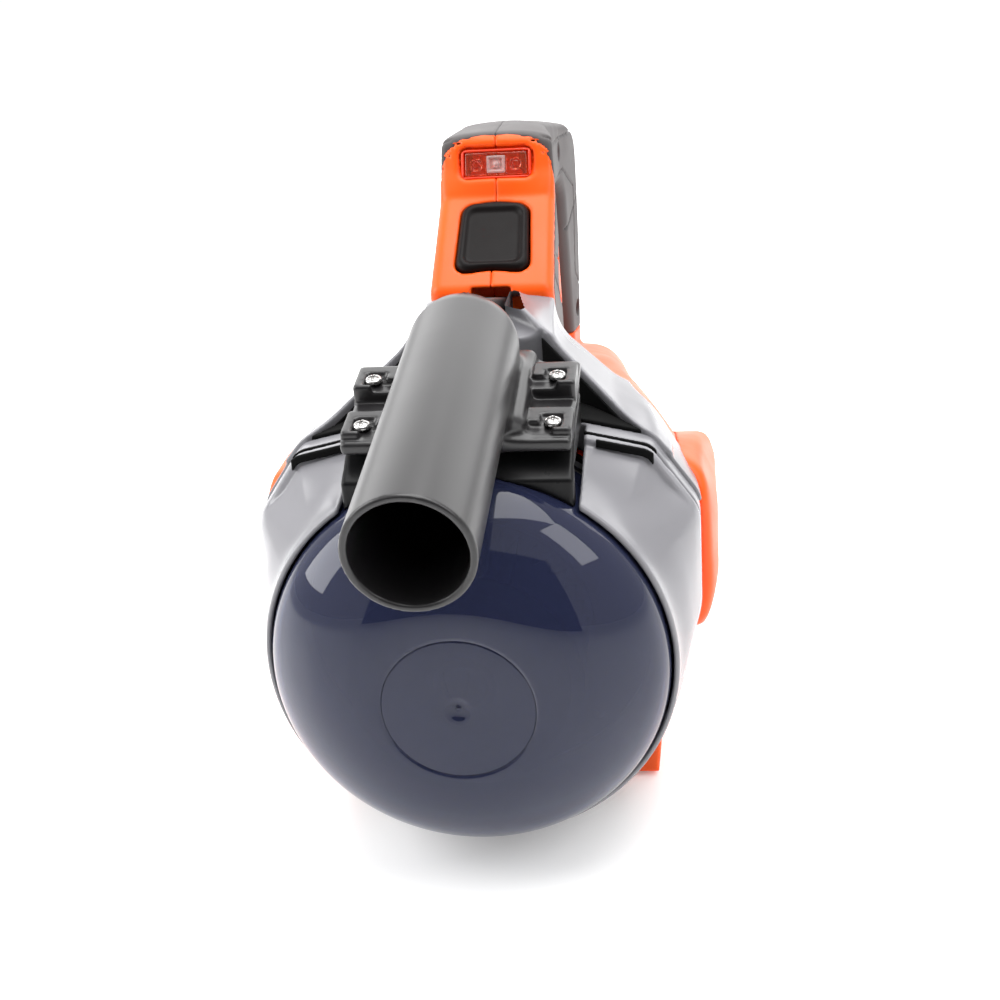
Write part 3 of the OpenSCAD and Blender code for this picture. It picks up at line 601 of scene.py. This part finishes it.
def grip_skin(x, y, z):
    grip = handle(x, y, z)
    skin = both(without(grip, grip + SKIN - 0.1, 0.3), outline(y, z, SKIN_SIDE) + 0.15, 0.8)
    skin = without(skin, both(skin_grooves(y, z), -(grip + 0.7), 0.3), 0.5)
    skin = without(skin, screw_wells(x, y, z, 3.9), 0.8)
    skin = without(skin, block(x, y, z, (-8, 190, 90), (8, 237, 120), 1), 1)
    return without(skin, both(outline(y, z, INSERT_EDGE) - 0.1, INSERT_X - 0.1 - x, 0.3), 0.4)


def side_insert(x, y, z):
    return both(both(outline(y, z, INSERT_EDGE), handle(x, y, z), 1.0), INSERT_X - np.abs(x), 0.4)


both_halves("grip_skin", half(grip_skin, 0.6), (0, 143, 28), (26, 310, 147), 0.75, SKIN_MATERIAL)
form("side_insert_shapes", side_insert, (-25, 164, 76), (25, 182, 103), 0.5, ORANGE, "side_inserts")


# ---- Dust cup ---------------------------------------------------------------------------------

RING_R = 24.5
BOWL_WALL = 2.5
DOME_Y = 28
DOME_STEPS = 28
DOME_POWER = 1.15


def dome(radius, front, shift):
    """Domed front of the bowl, from the ring in its middle out to a radius."""
    profile = []
    for i in range(DOME_STEPS + 1):
        a = math.pi / 2 * i / DOME_STEPS
        r = RING_R - shift + (radius - RING_R + shift) * math.sin(a) ** DOME_POWER
        profile.append((r, front + (DOME_Y - front) * (1 - math.cos(a) ** DOME_POWER)))
    return profile


def bowl_profile():
    """Gate mark and ring groove, then round the outside, the rim and the inside."""
    gate = [(0.02, 0.35), (0.5, 0.3), (0.75, 0.35), (0.9, 0.75), (1.4, 0.95), (2.4, 0.85), (3.6, 0.4),
            (4.4, 0.12), (5.2, 0.03)]
    groove = [(RING_R - 0.7, 0.03), (RING_R - 0.45, 0.1), (RING_R - 0.3, 0.4), (RING_R - 0.05, 0.4)]
    outside = dome(BOWL_R, 0.02, 0)
    inner_r = BOWL_R - BOWL_WALL
    rim = [(BOWL_R, 40), (BOWL_R, BOWL_Y - 0.5), (BOWL_R - 0.4, BOWL_Y), (inner_r + 0.4, BOWL_Y),
           (inner_r, BOWL_Y - 0.5), (inner_r, 40)]
    inside = list(reversed(dome(inner_r, BOWL_WALL, 1)))
    return gate + groove + outside + rim + inside + [(12, BOWL_WALL + 0.1), (0.02, BOWL_WALL + 0.1)]


def cut_box(piece, low, high):
    """Cuts a box, given in millimetres about the bowl's axis, out of a piece."""
    x, y, z = [(low[i], high[i]) for i in range(3)]
    points = np.array([(a, b, c) for a in x for b in y for c in z], float)
    faces = np.array([(0, 1, 3, 2), (4, 6, 7, 5), (0, 4, 5, 1), (2, 3, 7, 6), (0, 2, 6, 4), (1, 5, 7, 3)])
    tool = mesh_object("cutter", points, faces, SHADE_BLACK)
    cut = piece.modifiers.new("port", "BOOLEAN")
    cut.operation, cut.object, cut.solver = "DIFFERENCE", tool, "EXACT"
    graph = bpy.context.evaluated_depsgraph_get()
    mesh = bpy.data.meshes.new_from_object(piece.evaluated_get(graph))
    piece.modifiers.clear()
    piece.data = mesh
    bpy.data.objects.remove(tool)


bowl = lathe("dust_bowl_shape", bowl_profile(), SMOKE, "dust_bowl", turns=160)
cut_box(bowl, (-13, 36, 40), (13, 56, 80))

# The duct's own frame: v back along the tube from its mouth, w up across it
MOUTH = (-50.4, 78)
TUBE_SLOPE = 8.3
TUBE_R, TUBE_WALL, TUBE_LEN = 16, 2.2, 118
FLANGE_X, FLANGE_W = 36.7, -18.2
BRACKETS = [(84.5, -11.2), (108.5, -7.6)]
SCREW_X = 30.2


def tube_place(y, z):
    return turn(y, z, MOUTH, TUBE_SLOPE)


def duct(x, y, z):
    v, w = tube_place(y, z)
    r = reach(x, w)
    ball = np.sqrt(x * x + w * w + (v - TUBE_LEN) ** 2)
    bore = np.where(v > TUBE_LEN, ball, r) - TUBE_R
    outer = both(bore - TUBE_WALL, -v, 0.9)
    deck = block(x, v, w, (-FLANGE_X + 0.4, 82, FLANGE_W), (FLANGE_X - 0.4, 136, -13.8), 1.6)
    web = block(x, v, w, (-22, 85, FLANGE_W), (22, 136, -8.5), 3)
    solid = either(either(outer, web, 7), deck, 3)
    # Brackets that step down to the screws
    for front, top in BRACKETS:
        step = block(x, v, w, (22, front, FLANGE_W), (36.3, front + 15, top), 1.2)
        step = without(step, block(x, v, w, (26, front + 1.6, top - 1.6), (33.2, front + 10, 9), 1.5), 0.6)
        step = without(step, block(x, v, w, (21, front - 5, top - 2.4), (30.2, front + 5.6, 9), 1.5), 0.6)
        solid = either(solid, step, 0.8)
    catch = block(x, v, w, (-9, 132, -8), (9, 147, -1.5), 0.8)
    catch = without(catch, block(x, v, w, (-6, 139, -4), (6, 143, 5), 0.4), 0.4)
    solid = either(solid, catch, 0.6)
    solid = without(solid, bore, 0.9)
    return without(solid, block(x, v, w, (-13, 89, -30), (13, 110, -5), 1), 0.8)


form("inlet_duct_shape", mirrored(duct), (-37, -53.2, 58), (37, 97, 114), 0.75, DUCT, "inlet_duct")


def duct_screw_field(x, y, z):
    """Pan heads with a cross recess, each with its shank."""
    v, w = tube_place(y, z)
    nearest = FAR
    for front, top in BRACKETS:
        u, t = np.abs(x) - SCREW_X, v - front - 6
        head = both(np.sqrt(u * u + t * t + (w - top + 3.5) ** 2) - 4.2, top - 1.4 - w, 0.4)
        head = both(head, reach(u, t) - 2.9, 0.4)
        arms = np.minimum(block(u, t, w, (-2, -0.5, top - 1), (2, 0.5, 9), 0.2),
                          block(u, t, w, (-0.5, -2, top - 1), (0.5, 2, 9), 0.2))
        head = without(head, both(arms, top - 0.8 - w, 0.2), 0.2)
        nearest = np.minimum(nearest, either(head, rod(u, t, 1.5, w, -25, top - 1), 0.3))
    return nearest


form("duct_screw_shapes", duct_screw_field, (-34, 32, 52), (34, 68, 92), 0.36, STEEL, "duct_screws")

SADDLE_EDGE = rounded([(30, 40, 0), (30, 64, 1.5), (36, 67.5, 2), (52, 77, 0), (73, 80, 0), (73, 40, 0)])


def saddle(x, y, z):
    v, w = tube_place(y, z)
    solid = both(outline(y, z, SADDLE_EDGE), slab(x, -FLANGE_X, FLANGE_X), 1.6)
    solid = both(solid, w - FLANGE_W + 0.1, 0.8)
    solid = without(solid, reach(x, z) - BOWL_R - 0.1, 0.6)
    solid = without(solid, block(np.abs(x), y, z, (34.2, 36, 40), (60, 74, 66), 1), 1)
    solid = without(solid, block(x, v, w, (-18.2, 84.8, FLANGE_W - 1), (18.2, 115.2, 0), 0.5), 0.5)
    return without(solid, block(x, y, z, (-11.4, 36, 40), (11.4, 56, 100), 0.8), 0.8)


form("saddle_shape", mirrored(saddle), (-37, 29, 53), (37, 74, 79), 0.6, CHARCOAL, "saddle_block")


# ---- Collar and ring --------------------------------------------------------------------------

CUP_GAP = 0.8
TRAY_GAP = 0.3


def cup_space(x, y, z):
    """Room that the dust cup and its saddle slide through."""
    hole = both(reach(x, z) - BOWL_R - CUP_GAP, slab(y, 0, 75), 0.5)
    return either(hole, block(x, y, z, (-38, 0, 40), (38, 74, 110), 2), 0.5)


def collar(x, y, z):
    """Round at its front, it widens to the body's section, with a recess in its top."""
    r = reach(x, z)
    mix = smooth_step(y, COLLAR_Y + 4, RING_Y + 2)
    skin = (r - COLLAR_R - 2.6 * smooth_step(y, COLLAR_Y, 48)) * (1 - mix) + outline(x, z, SECTION) * mix
    high = smooth_step(z, 40, 50) * smooth_step(y, 31, 47) * (1 - smooth_step(y, 60.6, 61.4))
    solid = both(skin + 2.2 * high, slab(y, COLLAR_Y, RING_Y - 0.6 * smooth_step(z, 50, 54) - 0.25), 1.4)
    solid = without(solid, cup_space(x, y, z), 0.9)
    return without(solid, tray_zone(y, z) - TRAY_GAP, 0.6)


def ring(x, y, z):
    front = RING_Y + 0.25 + 0.5 * smooth_step(z, 50, 54)
    solid = both(outline(x, z, SECTION) + 0.3, slab(y, front, HOUSING_Y - 0.2), 0.9)
    solid = without(solid, both(reach(x, z) - BOWL_R + 3, slab(y, 0, 90), 0.5), 0.5)
    solid = without(solid, cup_space(x, y, z), 0.9)
    return without(solid, tray_zone(y, z) - TRAY_GAP, 0.6)


form("collar_shape", mirrored(collar), (-77, 27, -67), (77, 67, 73), 0.9, GREY_GLOSS, "front_collar")
form("mid_ring_shape", mirrored(ring), (-77, 65, -67), (77, 76, 73), 0.8, GREY_GLOSS, "mid_ring")


def step_shade_band(x, y, z):
    """Black band that paints the shade on the step in the collar's top."""
    band = both(np.abs(outline(x, z, SECTION) + 1.3) - 1.3, slab(y, 59.9, 61.2), 0.3)
    return both(band, slab(x, 42, 60.5 + 0.3 * (y - 60)), 0.3)


def gap_shade_band(x, y, z):
    """Black band that paints the shade in the gap between the collar and the ring."""
    band = both(np.abs(outline(x, z, SECTION) + 0.9) - 0.8, slab(y, 65.4, 66.6), 0.2)
    return both(band, slab(x, 37.8, 61.5), 0.3)


def shade_strip(name, field, low, high, step):
    """Black sheet that paints the shade in a joint or a hollow, which has no node of its own."""
    piece = mesh_object(name, *surface(mirrored(field), low, high, step), SHADE_BLACK)
    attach(piece, "housing")


shade_strip("step_painted_shade", step_shade_band, (-65, 59, 40), (65, 62, 68), 0.5)
shade_strip("gap_painted_shade", gap_shade_band, (-63, 65, 52), (63, 67, 68), 0.4)

CAP_SIDE = [(74.6, 36), (84, 40), (97, 45), (104, 49), (109, 54), (117, 57.5), (127, 58.8), (137, 58.8),
            (137, 95), (74.6, 95)]
CAP_T = 0.9
# Normals of the raised wing's inner side and of its top
WING_IN = (0.673, 0.740)
WING_UP = (0.683, 0.139, 0.718)

BUMPER = rounded([(62, 50, 6), (76, 43, 8), (84, 24, 16), (84, 0, 14), (76.5, -26, 5), (62, -26, 0)])
BUMPER_SIDE = rounded([(82, 34, 12), (90, 50, 10), (104, 48, 14), (150, 33, 16), (160, 8, 16), (150, -22, 14),
                       (94, -28, 12)])
BUMPER_PLAN = rounded([(60, 78, 0), (78, 80, 8), (84, 104, 30), (84, 134, 30), (74, 164, 10), (60, 164, 0)])


def bumper_volume(x, y, z):
    return both(both(outline(x, z, BUMPER), outline(y, z, BUMPER_SIDE), 5), outline(x, y, BUMPER_PLAN), 3)


def wing_in(x, y):
    return WING_IN[0] * x + WING_IN[1] * y


def wing_up(x, y, z):
    return WING_UP[0] * x + WING_UP[1] * y + WING_UP[2] * z


def fairing(x, y, z):
    """Cap over the shoulders with a raised wing, whose inner side falls into a dark opening."""
    shell = body(x, y, z)
    inner = 93.1 - wing_in(x, y)
    cap = both(both(shell - CAP_T - 0.2 * smooth_step(y, 75, 84), outline(y, z, CAP_SIDE), 0.4), inner, 0.6)
    wing = both(wing_up(x, y, z) - 94, inner, 2.2)
    wing = both(both(wing, slab(y, 74.8, 137), 2), 55 - z, 1)
    neck = both(block(x, y, z, (-24, 106, 55), (24, 139.8, 95), 3), (z - 86) - (y - 108) * 0.16, 1)
    solid = both(either(either(cap, wing, 4), neck, 6), np.minimum(inner, 106 - y), 0.8)
    solid = without(solid, shell + 1.5, 0.4)
    solid = without(solid, bumper_volume(x, y, z) - 0.15, 0.3)
    solid = without(solid, block(x, y, z, (-1, 60, 50), (33, 96, 99), 2), 1)
    solid = without(solid, block(x, y, z, (-10, 90, 50), (10, 114, 99), 0.8), 0.8)
    return without(solid, block(x, y, z, (-7.5, 90, 74), (7.5, 150, 99), 0.8), 0.8)


form("fairing_shape", mirrored(fairing), (-77, 72, 34), (77, 141, 93), 0.8, GREY_GLOSS, "neck_fairing")


def opening_floor_shade(x, y, z):
    """Black sheet that paints the shade on the floor of the opening in front of each wing."""
    shell = body(x, y, z)
    area = both(wing_in(x, y) - 93.4, 74.5 - y, 0.3)
    return both(both(area, shell - CAP_T, 0.3), -shell - 1.2, 0.3)


def opening_wall_shade(x, y, z):
    """Black sheet that paints the shade on the inner side of each wing, below its pale rim."""
    sheet = np.abs(93.0 - wing_in(x, y)) - 0.55
    below = wing_up(x, y, z) - 91.2
    return both(both(both(sheet, below, 0.3), -body(x, y, z) - 0.8, 0.3), slab(x, 21.5, 62), 0.3)


shade_strip("opening_floor_shade", opening_floor_shade, (-62, 73, 54), (62, 122, 75), 0.7)
shade_strip("opening_wall_shade", opening_wall_shade, (-62, 74, 54), (62, 118, 90), 0.6)


# ---- Flanks, feet and tray --------------------------------------------------------------------

GRILLE = rounded([(100, 28, 6), (138, 26, 6), (142, 6, 6), (136, -12, 6), (102, -14, 6)])


def bumper(x, y, z):
    solid = without(bumper_volume(x, y, z), body(x, y, z) - 0.02, 0.3)
    opening = outline(y, z, GRILLE)
    solid = without(solid, both(opening - 2.2, 82.2 - x, 0.6), 1.4)
    return without(solid, opening, 0.8)


SLAT_PITCH = 5.3
SLAT_FROM = -9


def grille(x, y, z):
    """Frame with leaning slats and a post in the middle."""
    edge = outline(y, z, GRILLE) + 0.2
    frame_ring = both(both(edge, -edge - 2.4, 0.4), slab(x, 76.5, 80), 0.7)
    slats = np.abs((z - SLAT_FROM + SLAT_PITCH / 2) % SLAT_PITCH - SLAT_PITCH / 2 - 1) - 1
    slats = both(both(slats, slab(x + (z - SLAT_FROM) % SLAT_PITCH * 0.25, 77.2, 79.6), 0.6), edge + 0.4, 0.4)
    post = both(both(slab(y, 119, 121.4), slab(x, 76.6, 79), 0.5), edge + 0.4, 0.4)
    return np.minimum(np.minimum(frame_ring, slats), post)


both_halves("side_bumper", bumper, (60, 77, -27), (85, 165, 51), 0.8, ORANGE)
both_halves("exhaust_grille", grille, (76, 99, -15), (81, 143, 29), 0.45, INNER)


def tray(x, y, z):
    """Closes the body from below, with ribs under its middle."""
    shell = body(x, y, z)
    solid = both(both(shell, tray_zone(y, z) + TRAY_GAP, 1), slab(y, 56, 220), 1)
    hollow = both(shell + 3, slab(y, 67, 212), 1)
    solid = without(solid, hollow, 0.8)
    ribs = both(np.abs((y + 6) % 12 - 6) - 0.6, slab(x, -30, 30), 0.4)
    solid = without(solid, both(both(ribs, slab(y, 108, 180), 0.4), z + 65.2, 0.3), 0.3)
    return without(solid, both(reach(x, z) - BOWL_R - CUP_GAP, y - 65, 0.5), 0.6)


form("base_tray_shape", mirrored(tray), (-65, 55, -67), (65, 221, -27), 1.0, CHARCOAL, "base_tray")


PAD_T = 1.6
SOLE = GROUND + PAD_T


def front_foot(x, y, z):
    leg = both(outline(x, z, [(40, -52), (62, -46), (59.5, SOLE), (42.5, SOLE)]), slab(y, 74, 98), 2)
    lip = block(x, y, z, (43, 75, SOLE), (58.4, 97, SOLE + 4), 1.6)
    leg = either(leg, lip, 1.2)
    leg = without(leg, block(x, y, z, (46, 72, SOLE + 8), (56, 76, -55), 1), 1)
    return without(leg, body(x, y, z) - 0.02, 0.3)


def rear_foot(x, y, z):
    leg = both(outline(x, z, [(20, -60), (42, -60), (40, SOLE), (24, SOLE)]), slab(y, 186, 208), 1.5)
    leg = without(leg, block(x, y, z, (28, 184, -71), (36, 188, -60), 0.8), 0.8)
    return without(leg, body(x, y, z) - 0.02, 0.3)


def pad(x, y, z):
    front = block(x, y, z, (45, 77, GROUND), (55, 95, SOLE), 0.6)
    rear = block(x, y, z, (26, 189, GROUND), (38, 205, SOLE), 0.6)
    grip = np.abs(y % 3 - 1.5) - 0.35
    return without(np.minimum(front, rear), both(grip, z - GROUND - 0.5, 0.2), 0.2)


form("front_feet_shape", mirrored(front_foot), (-63, 73, -74), (63, 99, -45), 0.7, ORANGE, "front_feet")
form("rear_feet_shape", mirrored(rear_foot), (-43, 185, -74), (43, 209, -59), 0.7, CHARCOAL, "rear_feet")
form("foot_pads_shape", mirrored(pad), (-56, 76, GROUND), (56, 206, SOLE), 0.4, RUBBER, "foot_pads")


# ---- Controls and work light ------------------------------------------------------------------

DISH = rounded([(10.9, 10.6, 3.5), (10.4, 36.6, 4), (-10.4, 36.6, 4), (-10.9, 10.6, 3.5)])


def button(x, y, z):
    """Bevelled cap with a dished face, hollow behind, on a short stem."""
    v, w = button_place(y, z)
    edge = outline(x, v, BUTTON_EDGE)
    solid = both(both(edge, slab(w, -5, 2), 1.2), (edge + w - 2) * 0.7071 + 0.9, 1)
    solid = without(solid, both(outline(x, v, DISH) + 0.5 * (2 - w), 0.8 - w, 1.2), 1.2)
    solid = without(solid, block(x, v, w, (-11.5, 11, -7), (11.5, 37, -3), 0.8), 0.6)
    return either(solid, rod(x, v - 22, 3, w, -11.8, -2.5, 0.4), 0.6)


form("release_button_shape", mirrored(button), (-15, 140, 88), (15, 178, 128), 0.5, BUTTON, "release_button")


def bezel(x, y, z):
    v, w = light_place(y, z)
    solid = block(x, v, w, (-13.6, 0.4, -1), (13.6, 6, 10.6), 2.2)
    inside = both(outline(x, w, [(-12.4, 0.2), (12.4, 0.2), (12.4, 9.4), (-12.4, 9.4)]), v - 4.6, 2)
    return without(solid, inside, 1)


PIP_X, PIP_W = 7.6, 4.6


def lens(x, y, z):
    """Sheet with a window for the light in its middle and holes for the pips."""
    v, w = light_place(y, z)
    sheet = block(x, v, w, (-11.9, 0.9, 0.5), (11.9, 2.2, 9.1), 0.5)
    sheet = without(sheet, block(x, v, w, (-3.9, 0, 0.9), (3.9, 5, 8.3), 0.4), 0.3)
    return without(sheet, rod(np.abs(x) - PIP_X, w - PIP_W, 2.2, v, 0, 5), 0.3)


def led_board(x, y, z):
    v, w = light_place(y, z)
    board = block(x, v, w, (-11.8, 3.6, 0.6), (11.8, 4.5, 9), 0.4)
    die = block(x, v, w, (-3.7, 1.0, 1.2), (3.7, 3.8, 8.0), 0.5)
    die = without(die, block(x, v, w, (-2.5, 0, 2.4), (2.5, 1.9, 6.8), 0.3), 0.3)
    bead = np.sqrt(x * x + (v - 2.2) ** 2 + (w - PIP_W) ** 2) - 1.5
    return either(board, np.minimum(die, bead), 0.3)


def pips(x, y, z):
    v, w = light_place(y, z)
    u = np.abs(x) - PIP_X
    disc = rod(u, w - PIP_W, 2.1, v, 0.7, 2.6, 0.3)
    groove = np.abs(reach(u, w - PIP_W) - 1.6) - 0.22
    return without(disc, both(groove, v - 1.2, 0.2), 0.2)


# The bezel's darker orange paints the shade inside the light's recess
form("light_bezel_shape", mirrored(bezel), (-14, 174, 126), (14, 187, 142), 0.5, RECESS_SHADE_ORANGE, "light_bezel")
form("light_lens_shape", mirrored(lens), (-12.2, 175, 127), (12.2, 184, 140), 0.4, RECESS_SHADE_LENS, "light_lens")
form("light_board_shape", mirrored(led_board), (-12.2, 177, 128), (12.2, 187, 140), 0.4, LED, "light_board")
form("lens_pips_shape", pips, (-10, 176, 128), (10, 186, 138), 0.3, RECESS_SHADE_LENS, "lens_pips")

TRIGGER_AXIS, LATCH_AXIS = (196, 114), (152, 84)
TRIGGER = rounded([(192, 112, 2), (193, 104, 2), (204, 101.5, 12), (234, 106.5, 2), (234, 111, 1),
                   (206, 112.5, 2), (200, 118, 2), (193, 118, 3)])
LATCH = rounded([(88.4, 95.4, 0.5), (88.4, 102, 1), (102, 102, 1), (140, 91, 4), (150, 88.5, 0),
                 (163.2, 96.3, 1), (168, 99.9, 0.6), (169.3, 98.1, 0.6), (164.5, 94.5, 1), (156, 80.4, 1),
                 (149, 80, 1), (138, 86.5, 4), (100, 98.2, 2), (91, 98.2, 1), (91, 95.4, 0.5)])


def trigger(x, y, z):
    side = outline(y, z, TRIGGER)
    solid = both(side, slab(x, -7, 7), 1.6)
    ridges = both(np.abs((y - 2) % 5 - 2.5) - 0.7, slab(y, 206, 228), 0.5)
    solid = without(solid, both(ridges, -side - 0.7, 0.3), 0.5)
    return without(solid, reach(y - TRIGGER_AXIS[0], z - TRIGGER_AXIS[1]) - 1.55, 0.3)


def latch(x, y, z):
    side = outline(y, z, LATCH)
    u, t = y - LATCH_AXIS[0], z - LATCH_AXIS[1]
    solid = both(side, slab(x, -5.5, 5.5), 0.8)
    solid = without(solid, both(side + 1.6, both(np.abs(x) - 3.9, 0.8 - np.abs(x), 0.4), 0.5), 0.5)
    solid = either(solid, rod(u, t, 4, x, -5.5, 5.5, 0.4), 0.4)
    return without(solid, reach(u, t) - 2.05, 0.2)


def housing_screw(x, y, z):
    """Domed heads with a cross recess, each with its shank."""
    nearest = FAR
    for py, pz in SCREWS:
        u, t = y - py, z - pz
        head = both(reach(u, t) - 3.3, both(11.1 - x, x - 13.4 + (u * u + t * t) * 0.06, 0.3), 0.4)
        across = np.maximum(np.abs(u) - 0.5, np.abs(t) - 2)
        along = np.maximum(np.abs(t) - 0.5, np.abs(u) - 2)
        head = without(head, both(np.minimum(across, along), 12.1 - x, 0.1), 0.2)
        nearest = np.minimum(nearest, either(head, rod(u, t, 1.45, x, -12, 12, 0.4), 0.2))
    return nearest


form("power_trigger_shape", mirrored(trigger), (-7, 191, 100), (7, 235, 119), 0.55, CHARCOAL, "power_trigger")
form("latch_lever_shape", mirrored(latch), (-5.5, 88, 79), (5.5, 170, 102.2), 0.5, INNER, "latch_lever")


def screw_rows():
    """All housing screws in one mesh, each meshed in its own small box."""
    points, faces, count = [], [], 0
    for py, pz in SCREWS:
        some, quads = surface(housing_screw, (-12, py - 3.4, pz - 3.4), (13.5, py + 3.4, pz + 3.4), 0.4)
        points.append(some)
        faces.append(quads + count)
        count += len(some)
    return np.concatenate(points), np.concatenate(faces)


stands_for(mesh_object("housing_screw_shapes", *screw_rows(), STEEL), "housing_screws")


# ---- Battery ----------------------------------------------------------------------------------

PACK_X, PACK_FRONT, PACK_REAR = 38, 223, 327
PACK_FLOOR, PACK_SPLIT = -72, -30
PACK_WALL = 2.4


def pack_outline(x, front, rear, front_r, rear_r):
    return rounded([(x, front, front_r), (x, rear, rear_r), (-x, rear, rear_r), (-x, front, front_r)])


PACK = pack_outline(PACK_X, PACK_FRONT, PACK_REAR, 5, 9)
PACK_INSIDE = pack_outline(34, PACK_FRONT + PACK_WALL, PACK_REAR - PACK_WALL, 3, 5.5)
LATCH_FRONT, LATCH_REAR = 286, 314
LATCH_IN = 34.9
BLADES = (-9, 0, 9)


def case(x, y, z):
    """Tub for the cells, with a label panel on each side and grooves across its rear."""
    solid = both(outline(x, y, PACK), slab(z, PACK_FLOOR, PACK_SPLIT), 2.2)
    panel = both(outline(y, z, [(232, -64), (232, -42), (278, -42), (278, -64)]), 36.9 - np.abs(x), 0.6)
    solid = without(solid, panel, 0.6)
    grooves = both(np.abs((z + 66) % 6 - 3) - 0.6, slab(z, -66, -42), 0.4)
    solid = without(solid, both(both(grooves, PACK_REAR - 0.8 - y, 0.3), np.abs(x) - 24, 0.4), 0.5)
    solid = without(solid, both(outline(x, y, PACK_INSIDE), slab(z, PACK_FLOOR + PACK_WALL, -20), 1), 0.6)
    window = block(np.abs(x), y, z, (33.2, LATCH_FRONT - 2, -40), (50, LATCH_REAR + 2, -20), 0.8)
    return without(solid, window, 0.6)


def cover(x, y, z):
    """Lid of the pack, with its rail, its rear grip and the slots for the blades and latches."""
    solid = both(outline(x, y, PACK), slab(z, PACK_SPLIT + 0.1, -13), 1)
    # Rail and grip
    solid = either(solid, block(x, y, z, (-29.4, PACK_FRONT, -14), (29.4, 298, -9.4), 0.6), 0.5)
    solid = either(solid, block(x, y, z, (-36, PACK_FRONT, -9.6), (36, 298, -6.6), 0.7), 0.3)
    solid = either(solid, block(x, y, z, (-34, 302.5, -14), (34, 323, -3), 1.5), 1)
    # Inside, wide in front of the latches and narrow between them
    solid = without(solid, block(x, y, z, (-35.6, 225.4, -40), (35.6, LATCH_FRONT - 2, -16), 0.8), 0.5)
    solid = without(solid, block(x, y, z, (-27, LATCH_FRONT - 2, -40), (27, 324.6, -16), 0.8), 0.5)
    for slot_x in BLADES:
        solid = without(solid, block(x, y, z, (slot_x - 1.2, 220, -25), (slot_x + 1.2, 238, -14.6), 0.3), 0.3)
    plate = block(np.abs(x), y, z, (31.8, LATCH_FRONT - 2, -40), (50, LATCH_REAR + 2, -15.5), 0.8)
    solid = without(solid, plate, 0.5)
    return without(solid, block(np.abs(x), y, z, (31.8, 288, -20), (50, 298, -12.9), 0.6), 0.4)


def side_latch(x, y, z):
    """Plate with a grooved thumb pad, and an arm up to its nose."""
    solid = block(x, y, z, (LATCH_IN, LATCH_FRONT, -38), (37.8, LATCH_REAR, -22), 0.6)
    solid = either(solid, block(x, y, z, (37, LATCH_FRONT + 3, -35), (39.5, LATCH_REAR - 3, -25), 0.8), 0.4)
    solid = either(solid, block(x, y, z, (LATCH_IN, 290.3, -23), (37.8, 295.7, -15.8), 0.4), 0.3)
    solid = either(solid, block(x, y, z, (37, 290.3, -18.4), (39.6, 295.7, -15.8), 0.5), 0.3)
    grooves = both(np.abs((y - 290.7) % 4 - 2) - 0.7, slab(z, -33.8, -26.2), 0.3)
    return without(solid, both(both(grooves, slab(y, 291, 309.5), 0.3), 38.7 - x, 0.3), 0.3)


form("battery_case_shape", mirrored(case), (-38, 223, -72), (38, 327, -30), 0.9, CHARCOAL, "battery_case")
form("battery_cover_shape", cover, (-38, 223, -30), (38, 327, -3), 0.7, CHARCOAL, "battery_cover")
both_halves("battery_latch", side_latch, (34.9, 286, -38), (39.6, 314, -15.8), 0.4, ORANGE)


# ---- Floor and card ---------------------------------------------------------------------------

def even(name, colour, roughness, glow=0):
    """Plain material of the studio's own surfaces."""
    m, _, bsdf = shader(name)
    bsdf.inputs["Base Color"].default_value = (*colour, 1)
    bsdf.inputs["Roughness"].default_value = roughness
    bsdf.inputs["Emission Color"].default_value = (1, 1, 1, 1)
    bsdf.inputs["Emission Strength"].default_value = glow
    return m


bpy.ops.mesh.primitive_plane_add(size=80, location=(0, 0, 0))
floor = bpy.context.object
floor.name = "floor"
floor.data.materials.append(even("floor_white", (0.95, 0.95, 0.95), 0.35, glow=0.2))

# Dark card behind the camera, as in a studio, to shape the reflections
bpy.ops.mesh.primitive_plane_add(size=1, location=(0, -1.9, 0.8), rotation=(math.pi / 2, 0, 0))
card = bpy.context.object
card.name = "dark_card"
card.scale = (3.0, 1.7, 1)
card.visible_camera = False
card.data.materials.append(even("card_black", (0.02, 0.02, 0.022), 0.9))
